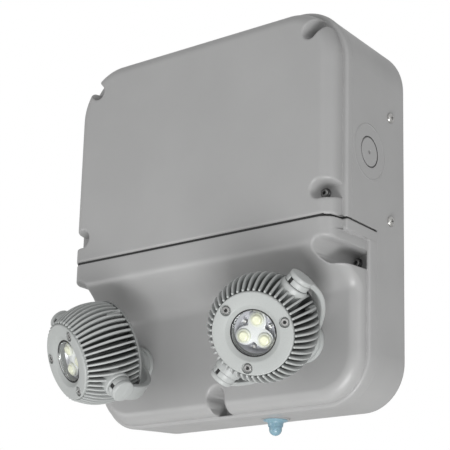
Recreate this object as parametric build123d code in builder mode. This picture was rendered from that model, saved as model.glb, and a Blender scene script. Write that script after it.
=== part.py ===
from build123d import *
from math import cos, radians, sin, tan
import os

# Wall-mounted emergency light with two lamp heads, in millimetres.
# The origin is on the wall, at the middle of the housing's back face.
# X is to the right seen from the front, Y runs into the wall, Z is up.

# Housing
width = 298.0
height = 340.0
top_radius = 48.0
bottom_radius = 41.0
draft_angle = 3.9
wall = 3.0
seam_height = -21.3
seam_gap = 2.0
seam_recess = 6.0
bridge_thick = 6.0
low_rim_depth = 46.5
high_rim_depth = 88.5
rim_width = 8.0
gasket_thick = 1.6
gasket_width = 3.0
gasket_inset = 2.5

# Covers
flange_thick = 8.5
low_flange_thick = 13.2
panel_proud = 18.0
panel_inset = 5.0
panel_edge_round = 12.5
flange_edge_round = 3.0
low_edge_round = 2.4
low_inset = 3.2
slope_overlap = 6.0
lamp_face_depth = 72.2
band_height = 22.0
slope_height = 30.0
slope_lead = 10.5
slope_round = 14.0
tray_round = 11.0
side_flange_height = 9.5

# Screw pockets in the covers
pocket_radius = 11.0
mid_pocket_radius = 9.5
pocket_floor = 3.0
mid_pocket_length = 21.5
corner_pocket_radius = 7.5
corner_pocket_inset = 28.0
corner_screw_step = 2.0
mid_screw_inset = 20.5
mid_pocket_height = 23.0
trough_radius = 11.5
trough_mouth = 6.5
trough_drop = 20.5
trough_fall = 6.5
trough_length = 39.0
bottom_pocket_length = 27.0

# Cover screws
screw_head_radius = 3.9
screw_head_height = 4.0
screw_radius = 2.4
screw_grip = 16.0
socket_radius = 1.9
socket_depth = 2.2
boss_wall = 3.0
screw_edge_distance = 18.0

# Side screws, knockouts and wall fixing holes
side_screw_depth = 24.5
side_screw_heights = (88.8, -7.7)
pan_head_radius = 4.6
pan_head_height = 2.6
pan_head_round = 1.4
side_screw_radius = 2.1
side_screw_length = 9.0
knockout_radius = 14.0
knockout_depth = 60.0
knockout_height = 46.5
knockout_groove = 1.0
dimple_radius = 1.6
fixing_spacing_x = 200.0
fixing_spacing_z = 240.0
fixing_hole_radius = 3.5

# Chassis plate, battery and electronics
plate_thick = 1.5
plate_half_width = 118.0
plate_low = -60.0
plate_high = 150.0
tab_depth = 26.0
tab_height = 14.0
battery_size = (90.0, 65.0, 101.0)
battery_x = -50.0
battery_edge = 3.0
terminal_size = (6.0, 6.0, 1.0)
capacitor_radius = 6.0
capacitor_height = 22.0
strap_width = 20.0
strap_thick = 1.2
strap_foot = 14.0
board_size = (80.0, 100.0)
board_thick = 1.6
board_x = 70.0
board_z = 60.0
standoff_height = 8.0
standoff_radius = 3.5
board_hole_inset = 6.0
transformer_size = (42.0, 30.0, 36.0)
transformer_rise = 20.0
transformer_chamfer = 2.0
terminal_block_size = (54.0, 18.0, 20.0)
terminal_block_x = 60.0
terminal_block_z = -32.0
terminal_count = 5
terminal_hole_depth = 6.0
small_screw_radius = 1.6
small_head_radius = 3.0
small_head_height = 2.0

# Test button
button_x = 29.5
button_depth = 27.0
button_radius = 5.8
button_drop = 14.0
button_pad_radius = 13.0
button_pad_margin = 0.3
button_travel = 2.5
collar_radius = 11.0
collar_height = 6.0
collar_lip = 2.0
collar_curve = 7.0
slide_clearance = 0.3
switch_radius = 9.0
switch_height = 20.0
collar_neck = 7.2
collar_waist = 7.0
neck_above_nut = 4.5
nut_thick = 4.0

# Lamps
lamp_x = 97.3
lamp_z = -118.7
lamp_pan = 42.0
lamp_tilt = 30.5

# Swivel post and yoke
running_gap = 0.3
pin_clearance = 0.05
post_radius = 9.0
post_flange_radius = 18.0
post_flange_thick = 3.5
post_bore = 4.0
washer_radius = 15.0
washer_thick = 1.5
swivel_nut_radius = 14.0
swivel_nut_thick = 5.0
yoke_reach = 58.0
yoke_span = 55.0
yoke_thick = 4.6
yoke_width = 15.0
yoke_seat_radius = 16.0
yoke_seat_thick = 5.0
knuckle_radius = 10.5
knuckle_thick = 9.4
knuckle_slot = (4.0, 3.2, 5.0)
pad_radius = 12.0
pad_face = 47.5
pin_radius = 3.0
pin_depth = 10.0
pin_reach = 6.5

# Lamp head, along its own axis with the front positive
face_front = 26.4
face_plate_thick = 3.5
face_radius = 34.7
face_edge = 0.8
window_radius = 18.6
dish_radius = 23.2
seal_show = 0.9
seal_radius = 21.0
lens_thick = 2.6
lens_proud = 0.5
fin_count = 48
fin_thick = 2.0
fin_belly_radius = 46.6
fin_front_radius = 35.4
fin_rear_radius = 44.0
core_front_radius = 30.6
core_belly_radius = 38.6
core_rear_radius = 38.0
belly_offset = -2.0
rear_flange_radius = 44.6
rear_flange_thick = 2.0
rear_face = -24.4
rear_cap_radius = 39.0
rear_cap_thick = 2.3
rear_bore = 27.0
rear_bore_end = -1.5
led_cup_radius = 18.2
led_cup_floor = 7.5
led_board_thick = 1.6
led_radius = 5.8
led_height = 6.0
led_dome = 3.6
led_circle = 10.4
led_angles = (30.0, 150.0, 270.0)
face_screw_circle = 29.0
face_screw_angles = (90.0, 210.0, 330.0)
face_screw_head = 3.9
face_screw_sink = 2.0
face_screw_socket = 1.2
face_screw_radius = 1.8
face_screw_length = 14.0
rear_boss_radius = 3.2
rear_boss_circle = 40.5
rear_boss_length = 14.0
wire_hole_radius = 3.0

half_width = width / 2
top = height / 2
bottom = -height / 2
flange_front = high_rim_depth + flange_thick
low_front = low_rim_depth + low_flange_thick
cover_front = flange_front + panel_proud
lower_top = seam_height - seam_gap

# How close a place counts as the same when edges are picked
near = 0.01

os.makedirs("parts", exist_ok=True)


def spread(depth):
    # How far the drafted walls stand out at this depth, past their foot on the wall
    return depth * tan(radians(draft_angle))


rim_spread = spread(high_rim_depth)
low_rim_spread = spread(low_rim_depth)
flange_spread = spread(flange_front)
low_flange_spread = spread(low_front)
panel_side = half_width + flange_spread - panel_inset
low_side = half_width + low_flange_spread - low_inset
pad_low = bottom - spread(button_depth + button_pad_radius) - button_pad_margin
pad_thick = wall + spread(2 * button_pad_radius) + 2 * button_pad_margin


def save(built, name):
    built.part.label = name
    export_step(built.part, f"parts/{name}.step")


def front_plane(depth):
    # A plane parallel to the wall at this depth, its normal to the room
    return Plane(origin=(0, -depth, 0), x_dir=(1, 0, 0), z_dir=(0, -1, 0))


def high_face(inset, low_edge):
    # The housing's outline above low_edge, square there and round at the top
    side = half_width - inset
    upper = top - inset
    radius = top_radius - inset
    with BuildSketch() as sketch:
        with BuildLine():
            Line((side, low_edge), (side, upper - radius))
            RadiusArc((side, upper - radius), (side - radius, upper), -radius)
            Line((side - radius, upper), (radius - side, upper))
            RadiusArc((radius - side, upper), (-side, upper - radius), -radius)
            Line((-side, upper - radius), (-side, low_edge))
            Line((-side, low_edge), (side, low_edge))
        make_face()
    return sketch.sketch


def low_face(inset, high_edge):
    # The outline below high_edge, square there and round at the bottom
    side = half_width - inset
    lower = bottom + inset
    radius = bottom_radius - inset
    with BuildSketch() as sketch:
        with BuildLine():
            Line((-side, high_edge), (-side, lower + radius))
            RadiusArc((-side, lower + radius), (radius - side, lower), -radius)
            Line((radius - side, lower), (side - radius, lower))
            RadiusArc((side - radius, lower), (side, lower + radius), -radius)
            Line((side, lower + radius), (side, high_edge))
            Line((side, high_edge), (-side, high_edge))
        make_face()
    return sketch.sketch


def strip_face(inset, high_edge):
    # The lower cover's side flange, as high as its strip and as wide as the housing
    with BuildSketch() as sketch:
        with Locations((0, high_edge - side_flange_height / 2)):
            Rectangle(width - 2 * inset, side_flange_height)
    return sketch.sketch


def drafted(outline, inset, edge, back, front):
    # A block with the housing's draft, between these two depths
    with BuildPart() as block:
        for depth in (back, front):
            with BuildSketch(front_plane(depth)):
                add(outline(inset - spread(depth), edge))
        loft(ruled=True)
    return block.part


def side_plane(side, inset):
    # The housing's drafted side wall, or one parallel to it that lies deeper
    lean = radians(draft_angle)
    wall_plane = Plane(
        origin=(side * half_width, 0, 0),
        x_dir=(-sin(lean), side * cos(lean), 0),
        z_dir=(side * cos(lean), sin(lean), 0),
    )
    return wall_plane.offset(-inset)


# Screw places, seen from the front
corner_pocket_x = half_width + rim_spread - corner_pocket_inset
corner_pocket_z = top + rim_spread - corner_pocket_inset
corner_screw_x = corner_pocket_x + corner_screw_step
corner_screw_z = corner_pocket_z + corner_screw_step
mid_screw_x = half_width + rim_spread - mid_screw_inset
mid_screw_z = seam_height + mid_pocket_height
trough_z = lower_top - trough_drop
trough_mouth_z = trough_z - trough_fall
trough_end = low_side - trough_length + trough_radius
trough_screw_x = half_width + low_rim_spread - screw_edge_distance
trough_lean = (trough_screw_x - trough_end) / (low_side - trough_end)
trough_screw_z = trough_z - trough_fall * trough_lean
bottom_screw_z = bottom - low_rim_spread + screw_edge_distance
corner_screws = [(corner_screw_x, corner_screw_z), (-corner_screw_x, corner_screw_z)]
upper_screws = corner_screws + [(mid_screw_x, mid_screw_z), (-mid_screw_x, mid_screw_z)]
trough_screws = [(trough_screw_x, trough_screw_z), (-trough_screw_x, trough_screw_z)]
lower_screws = trough_screws + [(0.0, bottom_screw_z)]
wall_fixings = [
    (x * fixing_spacing_x / 2, z * fixing_spacing_z / 2) for x in (-1, 1) for z in (-1, 1)
]
lamp_places = [(-lamp_x, lamp_z), (lamp_x, lamp_z)]

# Back box: a full tray to the low rim, its upper part going on to the high rim
high_inner = high_rim_depth - rim_width
low_inner = low_rim_depth - rim_width
gasket_out = gasket_inset - rim_spread
gasket_in = seam_height + gasket_inset + gasket_width
low_gasket_out = gasket_inset - low_rim_spread
with BuildPart() as back_box:
    add(drafted(high_face, 0, seam_height, 0, high_rim_depth))
    add(drafted(low_face, 0, seam_height, 0, low_rim_depth))
    add(drafted(high_face, wall, seam_height, wall, low_inner), mode=Mode.SUBTRACT)
    add(drafted(low_face, wall, seam_height, wall, low_inner), mode=Mode.SUBTRACT)
    add(
        drafted(low_face, rim_width, seam_height, low_inner, low_rim_depth), mode=Mode.SUBTRACT
    )
    bridge_top = seam_height + bridge_thick
    add(drafted(high_face, wall, bridge_top, low_inner, high_inner), mode=Mode.SUBTRACT)
    rim_low = seam_height + rim_width
    add(
        drafted(high_face, rim_width, rim_low, high_inner, high_rim_depth), mode=Mode.SUBTRACT
    )
    with BuildSketch(front_plane(wall)):
        with Locations(*upper_screws):
            Circle(screw_radius + boss_wall)
    extrude(amount=high_rim_depth - wall)
    with BuildSketch(front_plane(wall)):
        with Locations(*lower_screws):
            Circle(screw_radius + boss_wall)
    extrude(amount=low_rim_depth - wall)
    with BuildSketch(front_plane(high_rim_depth)):
        with Locations(*upper_screws):
            Circle(screw_radius)
    extrude(amount=-screw_grip, mode=Mode.SUBTRACT)
    with BuildSketch(front_plane(low_rim_depth)):
        with Locations(*lower_screws):
            Circle(screw_radius)
    extrude(amount=-screw_grip, mode=Mode.SUBTRACT)
    with BuildSketch(front_plane(high_rim_depth)):
        add(high_face(gasket_out, seam_height + gasket_inset))
        add(high_face(gasket_out + gasket_width, gasket_in), mode=Mode.SUBTRACT)
    extrude(amount=-gasket_thick, mode=Mode.SUBTRACT)
    with BuildSketch(front_plane(low_rim_depth)):
        add(low_face(low_gasket_out, seam_height))
        add(low_face(low_gasket_out + gasket_width, seam_height), mode=Mode.SUBTRACT)
    extrude(amount=-gasket_thick, mode=Mode.SUBTRACT)
    with BuildSketch(front_plane(0)):
        with Locations(*wall_fixings):
            Circle(fixing_hole_radius)
    extrude(amount=wall, mode=Mode.SUBTRACT)
    for side in (-1, 1):
        with BuildSketch(side_plane(side, 0)):
            with Locations((-side * knockout_depth, knockout_height)):
                Circle(knockout_radius)
                Circle(knockout_radius - knockout_groove, mode=Mode.SUBTRACT)
                Circle(dimple_radius)
        extrude(amount=-wall / 2, mode=Mode.SUBTRACT)
        with BuildSketch(side_plane(side, 0)):
            with Locations(*[(-side * side_screw_depth, z) for z in side_screw_heights]):
                Circle(side_screw_radius)
        extrude(amount=-wall, mode=Mode.SUBTRACT)
    with BuildSketch(Plane.XY.offset(pad_low)):
        with Locations((button_x, -button_depth)):
            Circle(button_pad_radius)
    extrude(amount=pad_thick)
    with BuildSketch(Plane.XY.offset(pad_low)):
        with Locations((button_x, -button_depth)):
            Circle(collar_neck)
    extrude(amount=pad_thick, mode=Mode.SUBTRACT)
save(back_box, "back_box")

# Gaskets: one ring in the high rim, one U in the low rim with the seam strip
with BuildPart() as upper_gasket:
    with BuildSketch(front_plane(high_rim_depth)):
        add(high_face(gasket_out, seam_height + gasket_inset))
        add(high_face(gasket_out + gasket_width, gasket_in), mode=Mode.SUBTRACT)
    extrude(amount=-gasket_thick)
save(upper_gasket, "upper_gasket")

with BuildPart() as lower_gasket:
    with BuildSketch(front_plane(low_rim_depth)):
        add(low_face(low_gasket_out, seam_height))
        add(low_face(low_gasket_out + gasket_width, seam_height), mode=Mode.SUBTRACT)
    extrude(amount=-gasket_thick)
    with BuildSketch(Plane.XY.offset(lower_top)):
        strip_depth = cover_front - seam_recess - low_rim_depth
        with Locations((0, -low_rim_depth - strip_depth / 2)):
            Rectangle(width - 2 * seam_recess, strip_depth)
    extrude(amount=seam_gap)
save(lower_gasket, "lower_gasket")

# Upper cover: rim flange, proud panel, and four screw pockets open to its edges
panel_out = panel_inset - flange_spread
mid_pocket_end = panel_side - mid_pocket_length + mid_pocket_radius


def side_pockets(end_x, centre_z, radius):
    # Two slots, each open to one side of the housing
    for side in (-1, 1):
        with Locations((side * (end_x + width) / 2, centre_z)):
            SlotCenterToCenter(width - end_x, 2 * radius)


def corner_pockets(radius):
    # Two slots that run out at the top corners
    for side in (-1, 1):
        start = (side * corner_pocket_x, corner_pocket_z)
        finish = (side * (corner_pocket_x + top_radius), corner_pocket_z + top_radius)
        with BuildLine() as path:
            Line(start, finish)
        SlotCenterPoint(path.line @ 0.5, finish, 2 * radius)


with BuildPart() as upper_hollow:
    with BuildSketch(front_plane(high_rim_depth)):
        add(high_face(panel_out + wall, seam_height + wall + panel_inset))
    extrude(amount=flange_thick + panel_proud - wall)
    inner_front = cover_front - wall
    inner_edges = edges().filter_by_position(Axis.Y, -inner_front - near, -inner_front + near)
    fillet(inner_edges.sort_by(Axis.Z)[1:], panel_edge_round - wall)
    with BuildSketch(front_plane(high_rim_depth)):
        side_pockets(mid_pocket_end, mid_screw_z, mid_pocket_radius + boss_wall)
        corner_pockets(corner_pocket_radius + boss_wall)
    extrude(amount=flange_thick + panel_proud, mode=Mode.SUBTRACT)

with BuildPart() as upper_cover:
    add(drafted(high_face, 0, seam_height, high_rim_depth, flange_front))
    rim_edges = edges().filter_by_position(Axis.Y, -flange_front - near, -flange_front + near)
    fillet(rim_edges.sort_by(Axis.Z)[1:], flange_edge_round)
    with BuildSketch(front_plane(flange_front)):
        add(high_face(panel_out, seam_height))
    extrude(amount=panel_proud)
    face_edges = edges().filter_by_position(Axis.Y, -cover_front - near, -cover_front + near)
    fillet(face_edges.sort_by(Axis.Z)[1:], panel_edge_round)
    add(upper_hollow.part, mode=Mode.SUBTRACT)
    with BuildSketch(front_plane(flange_front)):
        side_pockets(mid_pocket_end, mid_screw_z, mid_pocket_radius)
        corner_pockets(corner_pocket_radius)
    extrude(amount=panel_proud, mode=Mode.SUBTRACT)
    with BuildSketch(front_plane(high_rim_depth)):
        with Locations(*upper_screws):
            Circle(screw_radius + slide_clearance)
    extrude(amount=flange_thick, mode=Mode.SUBTRACT)
save(upper_cover, "upper_cover")

# Lower cover: band under the seam, slope back to the recessed lamp face, tray
slope_start = lower_top - band_height
slope_end = slope_start - slope_height
pocket_front = low_rim_depth + pocket_floor
bottom_pocket_z = bottom - low_flange_spread + low_inset + bottom_pocket_length - pocket_radius


def low_pockets(grow):
    # Two troughs that narrow to the sides, and one open at the bottom
    for side in (-1, 1):
        with BuildSketch() as trough:
            with Locations((side * trough_end, trough_z)):
                Circle(trough_radius + grow)
            with Locations((side * low_side, trough_mouth_z)):
                Circle(trough_mouth + grow)
            with Locations((side * width, trough_mouth_z)):
                Circle(trough_mouth + grow)
            make_hull()
        add(trough.sketch)
    with Locations((0, bottom_pocket_z)):
        Circle(pocket_radius + grow)
    with Locations((0, bottom_pocket_z - top / 2)):
        Rectangle(2 * (pocket_radius + grow), top)


def low_form(inner, back):
    # The cover's rounded form, shrunk by inner, from the depth called back
    side = low_side - inner
    face = lamp_face_depth - inner
    front = cover_front - inner
    with BuildPart() as tray:
        with BuildSketch(front_plane(back)):
            add(low_face(half_width - side, slope_start))
        extrude(amount=face - back)
        tray_edges = edges().filter_by_position(Axis.Y, -face - near, -face + near)
        fillet(tray_edges.sort_by(Axis.Z)[:-1], tray_round - inner)
    with BuildPart() as band:
        with BuildSketch(front_plane(back)):
            with Locations((0, lower_top - inner - band_height / 2)):
                Rectangle(2 * side, band_height)
        extrude(amount=front - back)
        fillet(
            edges().filter_by(Axis.Z).sort_by(Axis.Y)[:2],
            panel_edge_round - inner,
        )
    with BuildPart() as slope:
        with BuildSketch(Plane.YZ) as profile:
            with BuildLine():
                Polyline(
                    (-back, slope_start + slope_overlap),
                    (inner - cover_front, slope_start + slope_overlap),
                    (inner - cover_front, slope_start - slope_lead + inner / 2),
                    (inner - lamp_face_depth, slope_end + slope_lead + inner / 2),
                    (inner - lamp_face_depth, slope_end - slope_overlap),
                    (-back, slope_end - slope_overlap),
                    close=True,
                )
            make_face()
            lead_in = [v for v in vertices() if slope_end < v.Z < slope_start]
            fillet(lead_in, slope_round)
        extrude(amount=side, both=True)
        sides = [
            e
            for e in edges()
            if abs(abs(e.center().X) - side) < 0.01
            and e.center().Y < -face + near
            and slope_end - slope_overlap + near < e.center().Z < slope_start + slope_overlap - near
        ]
        fillet(sides, tray_round - inner)
    return tray.part + band.part + slope.part


with BuildPart() as lower_hollow:
    add(low_form(wall, low_rim_depth))
    with BuildSketch(front_plane(low_rim_depth)):
        low_pockets(boss_wall)
    extrude(amount=cover_front, mode=Mode.SUBTRACT)

with BuildPart() as lower_cover:
    add(drafted(low_face, 0, lower_top, low_rim_depth, low_front))
    crest = edges().filter_by_position(Axis.Y, -low_front - near, -low_front + near)
    fillet(crest.sort_by(Axis.Z)[:-1], low_edge_round)
    add(drafted(strip_face, 0, lower_top, low_rim_depth, flange_front))
    add(low_form(0, low_rim_depth))
    add(lower_hollow.part, mode=Mode.SUBTRACT)
    with BuildSketch(front_plane(pocket_front)):
        low_pockets(0)
        add(low_face(half_width - low_side, lower_top), mode=Mode.INTERSECT)
    extrude(amount=low_front - pocket_front, mode=Mode.SUBTRACT)
    with BuildSketch(front_plane(low_front)):
        low_pockets(0)
    extrude(amount=cover_front, mode=Mode.SUBTRACT)
    with BuildSketch(front_plane(low_rim_depth)):
        with Locations(*lower_screws):
            Circle(screw_radius + slide_clearance)
    extrude(amount=pocket_front - low_rim_depth, mode=Mode.SUBTRACT)
    with BuildSketch(front_plane(lamp_face_depth - wall)):
        with Locations(*lamp_places):
            Circle(post_radius + pin_clearance)
    extrude(amount=wall, mode=Mode.SUBTRACT)
save(lower_cover, "lower_cover")


def socket_screws(places, seat):
    # Socket head screws whose heads sit at this depth and point to the room
    with BuildPart() as screws:
        with BuildSketch(front_plane(seat)):
            with Locations(*places):
                Circle(screw_head_radius)
        extrude(amount=screw_head_height)
        with BuildSketch(front_plane(seat + screw_head_height)):
            with Locations(*places):
                RegularPolygon(socket_radius, 6)
        extrude(amount=-socket_depth, mode=Mode.SUBTRACT)
    return screws


with BuildPart() as upper_cover_screws:
    add(socket_screws(upper_screws, flange_front).part)
    with BuildSketch(front_plane(flange_front)):
        with Locations(*upper_screws):
            Circle(screw_radius)
    extrude(amount=-flange_thick - screw_grip)
save(upper_cover_screws, "upper_cover_screws")

with BuildPart() as lower_cover_screws:
    add(socket_screws(lower_screws, pocket_front).part)
    with BuildSketch(front_plane(pocket_front)):
        with Locations(*lower_screws):
            Circle(screw_radius)
    extrude(amount=low_rim_depth - pocket_front - screw_grip)
save(lower_cover_screws, "lower_cover_screws")

# Pan-head screws in the side walls
with BuildPart() as side_screws:
    for side in (-1, 1):
        places = [(-side * side_screw_depth, z) for z in side_screw_heights]
        with BuildSketch(side_plane(side, 0)):
            with Locations(*places):
                Circle(pan_head_radius)
        extrude(amount=pan_head_height)
        with BuildSketch(side_plane(side, 0)):
            with Locations(*places):
                Circle(side_screw_radius)
        extrude(amount=-side_screw_length)
    head_edge = half_width + spread(side_screw_depth) + pan_head_height / 2
    rims = edges().filter_by(GeomType.CIRCLE)
    fillet([e for e in rims if abs(e.center().X) > head_edge], pan_head_round)
save(side_screws, "side_screws")

# Chassis plate with four folded tabs behind the side screws
plate_front = wall + plate_thick
battery_low = seam_height + bridge_thick
battery_width, battery_deep, battery_high = battery_size
strap_z = battery_low + battery_high / 2
strap_reach = battery_width / 2 + strap_thick
strap_screw_places = [
    (battery_x + side * (strap_reach + strap_foot / 2), strap_z) for side in (-1, 1)
]
with BuildPart() as chassis_plate:
    with BuildSketch(front_plane(wall)):
        with Locations((0, (plate_high + plate_low) / 2)):
            Rectangle(2 * plate_half_width, plate_high - plate_low)
        with Locations(*[(0, z) for z in side_screw_heights]):
            Rectangle(width - 2 * wall, tab_height)
        with Locations(*upper_screws):
            Circle(screw_radius + boss_wall + slide_clearance, mode=Mode.SUBTRACT)
        with Locations(*[(x, z) for x, z in wall_fixings if z > 0]):
            Circle(fixing_hole_radius, mode=Mode.SUBTRACT)
        with Locations(*strap_screw_places):
            Circle(small_screw_radius, mode=Mode.SUBTRACT)
    extrude(amount=plate_thick)
    for side in (-1, 1):
        with BuildSketch(side_plane(side, wall)):
            with Locations(*[(-side * (wall + tab_depth / 2), z) for z in side_screw_heights]):
                Rectangle(tab_depth, tab_height)
        extrude(amount=-plate_thick)
        with BuildSketch(side_plane(side, wall)):
            with Locations(*[(-side * side_screw_depth, z) for z in side_screw_heights]):
                Circle(side_screw_radius)
        extrude(amount=-plate_thick, mode=Mode.SUBTRACT)
save(chassis_plate, "chassis_plate")

# Battery standing on the bridge, held to the plate by a strap
with BuildPart() as battery:
    with BuildSketch(front_plane(plate_front)):
        with Locations((battery_x, strap_z)):
            RectangleRounded(battery_width, battery_high, battery_edge)
    extrude(amount=battery_deep)
    with BuildSketch(Plane.XY.offset(battery_low + battery_high)):
        with Locations(
            (battery_x - battery_width / 4, -plate_front - battery_deep / 2),
            (battery_x + battery_width / 4, -plate_front - battery_deep / 2),
        ):
            Rectangle(terminal_size[0], terminal_size[2])
    extrude(amount=terminal_size[1])
save(battery, "battery")

with BuildPart() as battery_strap:
    with BuildSketch(Plane.XY.offset(strap_z)):
        with Locations((battery_x, -plate_front - (battery_deep + strap_thick) / 2)):
            Rectangle(2 * strap_reach, battery_deep + strap_thick)
        with Locations((battery_x, -plate_front - strap_thick / 2)):
            Rectangle(2 * (strap_reach + strap_foot), strap_thick)
        with Locations((battery_x, -plate_front - battery_deep / 2)):
            Rectangle(battery_width, battery_deep, mode=Mode.SUBTRACT)
    extrude(amount=strap_width / 2, both=True)
    with BuildSketch(front_plane(plate_front)):
        with Locations(*strap_screw_places):
            Circle(small_screw_radius)
    extrude(amount=strap_thick, mode=Mode.SUBTRACT)
save(battery_strap, "battery_strap")

with BuildPart() as strap_screws:
    with BuildSketch(front_plane(plate_front + strap_thick)):
        with Locations(*strap_screw_places):
            Circle(small_head_radius)
    extrude(amount=small_head_height)
    with BuildSketch(front_plane(plate_front + strap_thick)):
        with Locations(*strap_screw_places):
            Circle(small_screw_radius)
    extrude(amount=-strap_thick - plate_thick)
save(strap_screws, "strap_screws")

# Driver board on four stand-offs, with its transformer
board_holes = [
    (
        board_x + x * (board_size[0] / 2 - board_hole_inset),
        board_z + z * (board_size[1] / 2 - board_hole_inset),
    )
    for x in (-1, 1)
    for z in (-1, 1)
]
board_back = plate_front + standoff_height
board_front = board_back + board_thick
with BuildPart() as board_standoffs:
    with BuildSketch(front_plane(plate_front)):
        with Locations(*board_holes):
            Circle(standoff_radius)
            Circle(small_screw_radius, mode=Mode.SUBTRACT)
    extrude(amount=standoff_height)
save(board_standoffs, "board_standoffs")

with BuildPart() as driver_board:
    with BuildSketch(front_plane(board_back)):
        with Locations((board_x, board_z)):
            Rectangle(*board_size)
        with Locations(*board_holes):
            Circle(small_screw_radius, mode=Mode.SUBTRACT)
    extrude(amount=board_thick)
    with BuildSketch(front_plane(board_front)):
        with Locations(
            (board_x - board_size[0] / 4, board_z - board_size[1] / 4),
            (board_x, board_z - board_size[1] / 4),
        ):
            Circle(capacitor_radius)
    extrude(amount=capacitor_height)
save(driver_board, "driver_board")

with BuildPart() as board_screws:
    with BuildSketch(front_plane(board_front)):
        with Locations(*board_holes):
            Circle(small_head_radius)
    extrude(amount=small_head_height)
    with BuildSketch(front_plane(board_front)):
        with Locations(*board_holes):
            Circle(small_screw_radius)
    extrude(amount=-board_thick - standoff_height / 2)
save(board_screws, "board_screws")

with BuildPart() as transformer:
    with BuildSketch(front_plane(board_front)):
        with Locations((board_x, board_z + transformer_rise)):
            Rectangle(transformer_size[0], transformer_size[1])
    extrude(amount=transformer_size[2])
    chamfer(edges().filter_by(Axis.Y), transformer_chamfer)
save(transformer, "transformer")

with BuildPart() as terminal_block:
    with BuildSketch(front_plane(plate_front)):
        with Locations((terminal_block_x, terminal_block_z)):
            Rectangle(terminal_block_size[0], terminal_block_size[1])
    extrude(amount=terminal_block_size[2])
    with BuildSketch(front_plane(plate_front + terminal_block_size[2])):
        with Locations((terminal_block_x, terminal_block_z)):
            with GridLocations(terminal_block_size[0] / terminal_count, 0, terminal_count, 1):
                Circle(small_head_radius)
    extrude(amount=-terminal_hole_depth, mode=Mode.SUBTRACT)
save(terminal_block, "terminal_block")

# Test button under the housing, on a flat pad: collar, plunger, switch and nut
button_axis = Axis((button_x, -button_depth, 0), (0, 0, 1))
button_section = Plane(origin=(button_x, -button_depth, pad_low), x_dir=(1, 0, 0), z_dir=(0, -1, 0))
bore = button_radius + slide_clearance
neck_top = pad_thick + nut_thick + neck_above_nut
with BuildPart() as button_collar:
    with BuildSketch(button_section):
        with BuildLine():
            Line((bore, -collar_height), (collar_waist, -collar_height))
            RadiusArc(
                (collar_waist, -collar_height),
                (collar_radius, -collar_lip),
                collar_curve,
            )
            Polyline(
                (collar_radius, -collar_lip),
                (collar_radius, 0),
                (collar_neck, 0),
                (collar_neck, neck_top),
                (bore, neck_top),
                (bore, -collar_height),
            )
        make_face()
    revolve(axis=button_axis)
save(button_collar, "button_collar")

with BuildPart() as switch_nut:
    with BuildSketch(Plane.XY.offset(pad_low + pad_thick)):
        with Locations((button_x, -button_depth)):
            RegularPolygon(switch_radius, 6)
            Circle(collar_neck, mode=Mode.SUBTRACT)
    extrude(amount=nut_thick)
save(switch_nut, "switch_nut")

plunger_top = neck_top - button_travel
with BuildPart() as test_button:
    with BuildSketch(button_section):
        with BuildLine():
            Line((0, plunger_top), (button_radius, plunger_top))
            Line((button_radius, plunger_top), (button_radius, button_radius - button_drop))
            RadiusArc(
                (button_radius, button_radius - button_drop), (0, -button_drop), button_radius
            )
            Line((0, -button_drop), (0, plunger_top))
        make_face()
    revolve(axis=button_axis)
save(test_button, "test_button")

with BuildPart() as test_switch:
    with BuildSketch(Plane.XY.offset(pad_low + neck_top)):
        with Locations((button_x, -button_depth)):
            Circle(switch_radius)
    extrude(amount=switch_height)
    with BuildSketch(Plane.XY.offset(pad_low + neck_top)):
        with Locations((button_x, -button_depth)):
            Circle(bore)
    extrude(amount=button_travel, mode=Mode.SUBTRACT)
save(test_switch, "test_switch")

# Lamps: each is built about its pivot, turned out and down as it is aimed
post_front = lamp_face_depth + running_gap + post_flange_thick
pivot_depth = post_front + yoke_reach + yoke_thick / 2
cover_inside = lamp_face_depth - wall
washer_front = cover_inside - running_gap
post_back = washer_front - washer_thick - swivel_nut_thick - running_gap
plate_back = face_front - face_plate_thick
pan = radians(lamp_pan)
tilt = radians(lamp_tilt)


def ring_of(radius, angles):
    # Points on a circle at these angles in degrees
    return [(radius * cos(radians(a)), radius * sin(radians(a))) for a in angles]


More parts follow.
